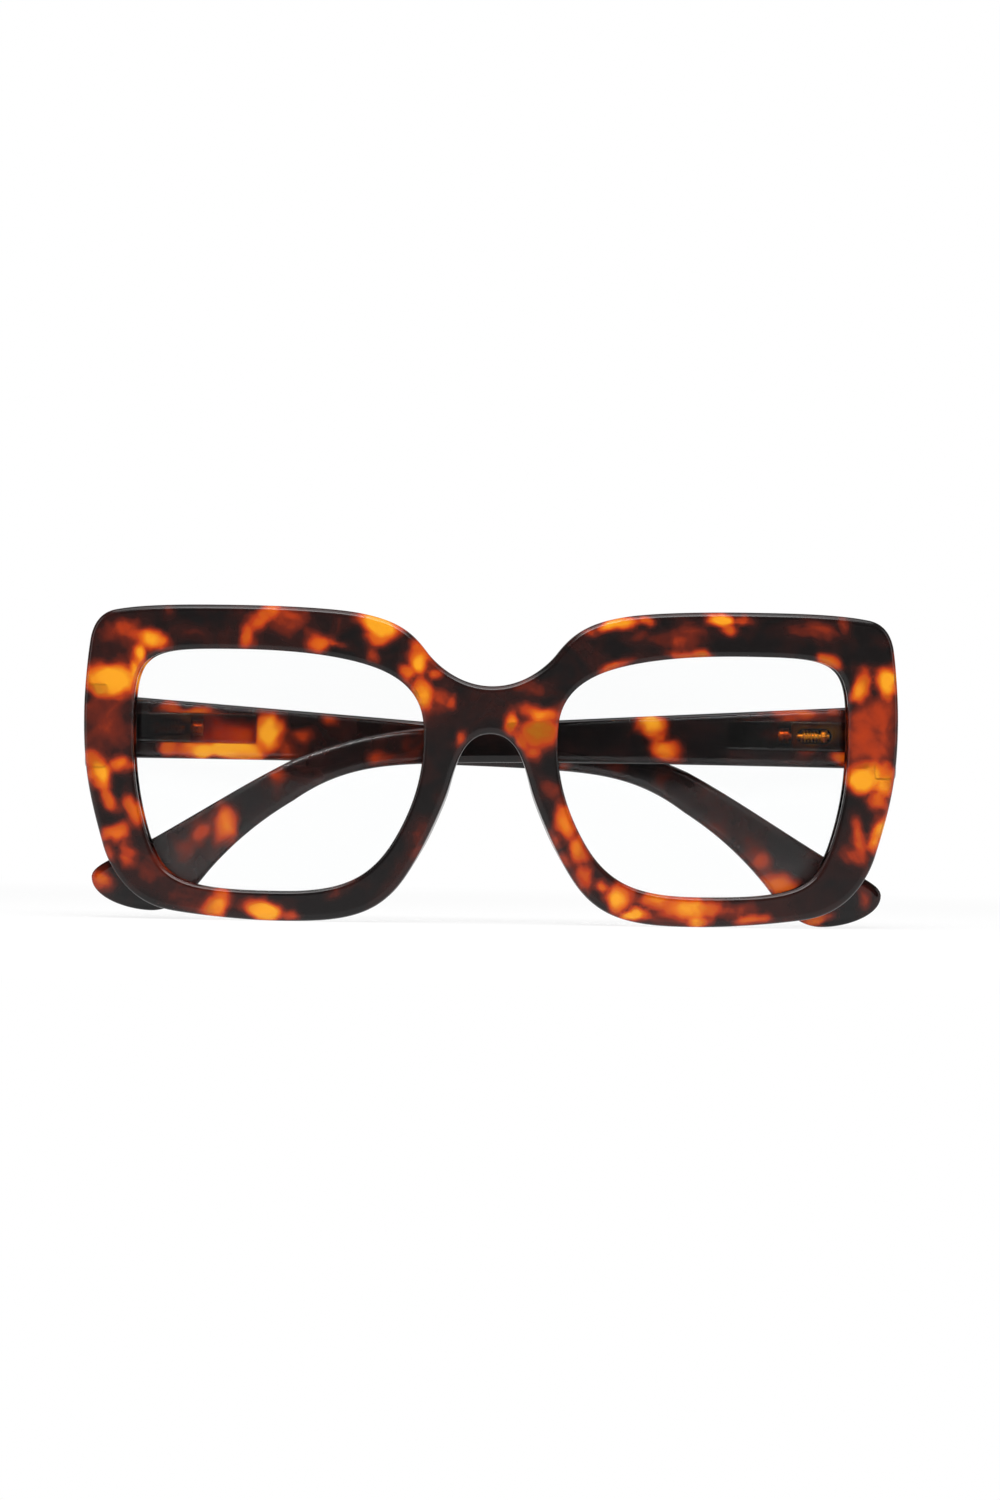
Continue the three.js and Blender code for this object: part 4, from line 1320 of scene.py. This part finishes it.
class GLASSES_OT_temples(bpy.types.Operator):
    """Make the two temples with their pockets, and the covers over them"""

    bl_idname = "glasses.temples"
    bl_label = "Temples"

    def execute(self, context):
        sizes = context.scene.glasses_sizes
        look = context.scene.glasses_colours
        paint = made_material("Tortoise temple", tortoise, look, TEMPLE_ROUGHNESS)
        tinted = made_material("Amber cover", amber_cover, look)
        outline = np.vstack([trace(ARM_START, ARM, CURVE_STEPS), [ARM_END]])
        outline = spread(outline, sizes.temple_mesh * 0.75)
        blank, faces = plate(outline, [], 0, TEMPLE_THICKNESS, sizes.temple_edge, sizes.temple_mesh)
        blank[:, 1] *= thickness_share(blank[:, 0])
        panel = spread(rectangle(COVER_START, FIT - POCKET_HALF, COVER_END, POCKET_HALF - FIT, 0.3), 0.3)
        cover = plate(panel, [], 0, COVER_THICKNESS, sizes.cover_edge, 0.8, steps=3)
        tall = BARREL_STACK_HALF + SCREW_HEAD_HEIGHT + 2 * BARREL_GAP
        notch_end = BARREL_RADIUS + END_GAP + TEMPLE_NOTCH_MARGIN
        notch_depth = PIN_INSET + BARREL_RADIUS + END_GAP
        thread = hole(THREAD_RADIUS + FIT, POCKET_END - 1, POCKET_END + THREAD_LENGTH)
        cuts = [
            block((-1, -1, -POCKET_HALF), (POCKET_END, POCKET_DEPTH, POCKET_HALF)),
            block((-1, -1, -POCKET_HALF), (COVER_END + FIT, COVER_THICKNESS + FIT, POCKET_HALF)),
            block((-1, -1, -tall), (notch_end, notch_depth, tall)),
            along_x(thread, (SLIDE_DEPTH, 0)),
        ]
        for word, patches, seed in (("left", LEFT_PATCHES, 7.7), ("right", RIGHT_PATCHES, 12.4)):
            place = on_arm(word)
            arm = word + "_arm"
            temple = object_of("temple", (blank, faces), place)
            for cut in cuts:
                combine(temple, [object_of("cut", cut, place)], "DIFFERENCE")
            lid = object_of("cover", cover, place)
            for made in (temple, lid):
                places = corners(made)
                local = to_arm(word, places)
                store(made, mottle(local[:, 0], places[:, 2], local[:, 1], patches, seed))
            finished(temple, arm, word + "_temple", paint, "temple_" + word)
            finished(lid, arm, word + "_temple_cover", tinted, "temple_cover_" + word)
        return {"FINISHED"}


class GLASSES_OT_springs(bpy.types.Operator):
    """Make the guide screws with their threads, the nuts and the coil springs"""

    bl_idname = "glasses.springs"
    bl_label = "Springs"

    def execute(self, context):
        look = context.scene.glasses_colours
        steel = made_material("Screw steel", metal, look.steel, *SCREW_STEEL.values())
        axis = (SLIDE_DEPTH, 0)
        collar = POCKET_END - COLLAR_LENGTH - FIT
        end = collar + COLLAR_LENGTH
        tip = POCKET_END + THREAD_LENGTH - FIT
        core = THREAD_RADIUS - 0.1
        points = [(0, ROD_START), (ROD_RADIUS - 0.1, ROD_START), (ROD_RADIUS, ROD_START + 0.1)]
        points += [(ROD_RADIUS, collar), (COLLAR_RADIUS - 0.1, collar), (COLLAR_RADIUS, collar + 0.1)]
        points += [(COLLAR_RADIUS, end - 0.1), (COLLAR_RADIUS - 0.1, end), (core, end)]
        points += [(core, tip - 0.15), (core - 0.15, tip), (0, tip)]
        shank = lathe(points, ROD_FACETS)
        thread = wound(core, tip - end - 0.6, THREAD_TURNS, THREAD_WIRE, THREAD_STEPS, steel)
        screw = along_x(together(shank, moved(thread, 0, 0, end + 0.25)), axis)
        turns = np.linspace(0, 2 * math.pi, ROD_FACETS, endpoint=False)
        bore = np.column_stack([(ROD_RADIUS + FIT) * np.cos(turns), (ROD_RADIUS + FIT) * np.sin(turns)])
        corner = NUT_ACROSS / math.sqrt(3)
        hexagon = np.array(
            [(corner * math.cos(i * math.pi / 3), corner * math.sin(i * math.pi / 3)) for i in range(6)]
        )
        nut_flat, nut_faces = plate(
            spread(hexagon, 0.1), [bore], NUT_START, NUT_START + NUT_THICKNESS, 0.08, steps=2
        )
        nut = nut_flat[:, [1, 0, 2]] + (0, SLIDE_DEPTH, 0), nut_faces
        start = NUT_START + NUT_THICKNESS + SPRING_WIRE + SPRING_END_GAP
        outer = SPRING_RADIUS + SPRING_WIRE
        seat = WINDOW_END - WINDOW_HALF + math.sqrt(WINDOW_HALF**2 - outer**2)
        run = seat - SPRING_WIRE - SPRING_END_GAP - start
        wire = wound(SPRING_RADIUS, run, SPRING_COILS, SPRING_WIRE, SPRING_STEPS, steel)
        spring = along_x(moved(wire, 0, 0, start), axis)
        for word in SIDES:
            place = on_arm(word)
            for node, solid in (("guide_screw", screw), ("spring_nut", nut), ("spring", spring)):
                made = object_of(node, solid, place)
                name = node + "_" + word
                finished(made, word + "_arm", word + "_" + node, steel, name)
                if node == "spring":
                    anchor = place(np.array([[start, SLIDE_DEPTH, 0.0]]))[0] * MM
                    along = arm_axes(word)[1]
                    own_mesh(made)
        return {"FINISHED"}


# Stage --------------------------------------------------------------------------------------------


def background_rays(tree):
    """Whether a ray is seen directly, has gone through plastic, or is a mirror image."""
    path = tree.node("ShaderNodeLightPath")
    names = ("Is Camera Ray", "Is Transmission Ray", "Is Glossy Ray")
    return [Socket(tree, path.output.node.outputs[name]) for name in names]


class GLASSES_OT_stage(bpy.types.Operator):
    """Make the floor, the pale surroundings, the light and the camera"""

    bl_idname = "glasses.stage"
    bl_label = "Stage"

    def execute(self, context):
        stage = context.scene.glasses_stage
        self.floor()
        self.surroundings(context.scene)
        for name, (at, towards, size, power) in LAMPS.items():
            self.lamp(name, at, towards, size, getattr(stage, power))
        self.camera(context.scene, stage)
        context.scene.view_settings.view_transform = "Standard"
        return {"FINISHED"}

    def floor(self):
        count = FLOOR_FACETS
        turns = np.linspace(0, 2 * math.pi, count, endpoint=False)
        rows = [np.zeros((1, 3))]
        for radius in FLOOR_RINGS:
            rows.append(np.column_stack([radius * np.cos(turns), radius * np.sin(turns), 0 * turns]))
        faces = [(0, 1 + i, 1 + (i + 1) % count) for i in range(count)]
        for ring in range(len(FLOOR_RINGS) - 1):
            base = 1 + ring * count
            for i in range(count):
                after = (i + 1) % count
                faces.append((base + i, base + count + i, base + count + after, base + after))
        mesh = bpy.data.meshes.new("floor")
        mesh.from_pydata((np.vstack(rows) * MM).tolist(), [], faces)
        floor = bpy.data.objects.new("floor", mesh)
        bpy.context.scene.collection.objects.link(floor)
        paper, tree = new_material("Floor paper")
        place = tree.node("ShaderNodeTexCoord", output="Object")
        length = tree.node("ShaderNodeVectorMath", {"operation": "LENGTH"}, {0: place}, output="Value")
        far = tree.smooth_step(length, 0.16, 0.42)
        seen, through, glossy = background_rays(tree)
        # Well in front of the glasses the floor is unlit, so that their faces mirror no white.
        split = tree.node("ShaderNodeSeparateXYZ", {}, {"Vector": place}, output="Y")
        ahead = tree.smooth_step(split, -0.7, -0.3)
        share = (seen + (through + glossy) * ahead) * (0.82 + far * 0.18)
        fibre = tree.noise(place, 500.0, 3.0)
        rough = 0.75 + fibre * 0.1
        matt = tree.node(
            "ShaderNodeBsdfPrincipled", {}, {"Base Color": (0.86, 0.86, 0.86, 1), "Roughness": rough}
        )
        glow = tree.node("ShaderNodeEmission", {}, {"Color": (1, 1, 1, 1), "Strength": 1.0})
        both = tree.node("ShaderNodeMixShader", {}, {"Fac": share, 1: matt, 2: glow})
        tree.node("ShaderNodeOutputMaterial", {}, {"Surface": both})
        mesh.materials.append(paper)

    def surroundings(self, scene):
        world = bpy.data.worlds.new("Studio")
        world.use_nodes = True
        scene.world = world
        tree = Tree(world.node_tree)
        seen, through, glossy = background_rays(tree)
        direction = tree.node("ShaderNodeTexCoord", output="Generated")
        split = tree.node("ShaderNodeSeparateXYZ", {}, {"Vector": direction}, output="Y")
        behind = tree.smooth_step(split, 0.3, 0.9)
        # The studio is dark straight in front of the glasses, so that their faces mirror no white.
        lit = tree.smooth_step(split, -0.985, -0.94)
        white = seen + through * lit + glossy * behind * 0.5
        dim = tree.node("ShaderNodeBackground", {}, {"Color": (0.07, 0.07, 0.07, 1), "Strength": 1.0})
        bright = tree.node("ShaderNodeBackground", {}, {"Color": (1, 1, 1, 1), "Strength": 1.0})
        both = tree.node("ShaderNodeMixShader", {}, {"Fac": white, 1: dim, 2: bright})
        tree.node("ShaderNodeOutputWorld", {}, {"Surface": both})

    def lamp(self, name, at, towards, size, power):
        light = bpy.data.lights.new(name, "AREA")
        light.shape = "RECTANGLE"
        light.size, light.size_y = size
        light.energy = power
        lamp = bpy.data.objects.new(name, light)
        lamp.location = at
        lamp.rotation_euler = (Vector(towards) - Vector(at)).to_track_quat("-Z", "Y").to_euler()
        bpy.context.scene.collection.objects.link(lamp)

    def camera(self, scene, stage):
        lens = bpy.data.cameras.new("Camera")
        lens.sensor_fit = "VERTICAL"
        lens.sensor_height = 36
        lens.lens = stage.focal_length
        lens.clip_end = 10
        camera = bpy.data.objects.new("Camera", lens)
        camera.location = (CAMERA_X, FRONT_Y * MM - stage.camera_away, stage.camera_height)
        camera.rotation_euler = (math.radians(90), stage.camera_roll, 0)
        camera.rotation_mode = "XYZ"
        scene.collection.objects.link(camera)
        scene.camera = camera


class GLASSES_PT_panel(bpy.types.Panel):
    """Lists the pieces and their settings"""

    bl_idname = "GLASSES_PT_panel"
    bl_label = "Folding Reading Glasses"
    bl_space_type = "VIEW_3D"
    bl_region_type = "UI"
    bl_category = "Glasses"

    def draw(self, context):
        for operator in OPERATORS:
            self.layout.operator(operator.bl_idname)
        for settings in (
            context.scene.glasses_sizes,
            context.scene.glasses_colours,
            context.scene.glasses_stage,
        ):
            box = self.layout.box()
            for name in type(settings).__annotations__:
                box.prop(settings, name)


OPERATORS = (
    GLASSES_OT_front,
    GLASSES_OT_lenses,
    GLASSES_OT_hinges,
    GLASSES_OT_temples,
    GLASSES_OT_springs,
    GLASSES_OT_stage,
)
GROUPS = {
    "glasses_sizes": GlassesSizes,
    "glasses_colours": GlassesColours,
    "glasses_stage": GlassesStage,
}


def register():
    for one in (*GROUPS.values(), *OPERATORS, GLASSES_PT_panel):
        bpy.utils.register_class(one)
    for name, group in GROUPS.items():
        setattr(bpy.types.Scene, name, bpy.props.PointerProperty(type=group))


def unregister():
    for name in GROUPS:
        delattr(bpy.types.Scene, name)
    for one in reversed((*GROUPS.values(), *OPERATORS, GLASSES_PT_panel)):
        bpy.utils.unregister_class(one)


def main():
    register()
    bpy.ops.glasses.front()
    bpy.ops.glasses.lenses()
    bpy.ops.glasses.hinges()
    bpy.ops.glasses.temples()
    bpy.ops.glasses.springs()
    bpy.ops.glasses.stage()


if __name__ == "__main__":
    main()
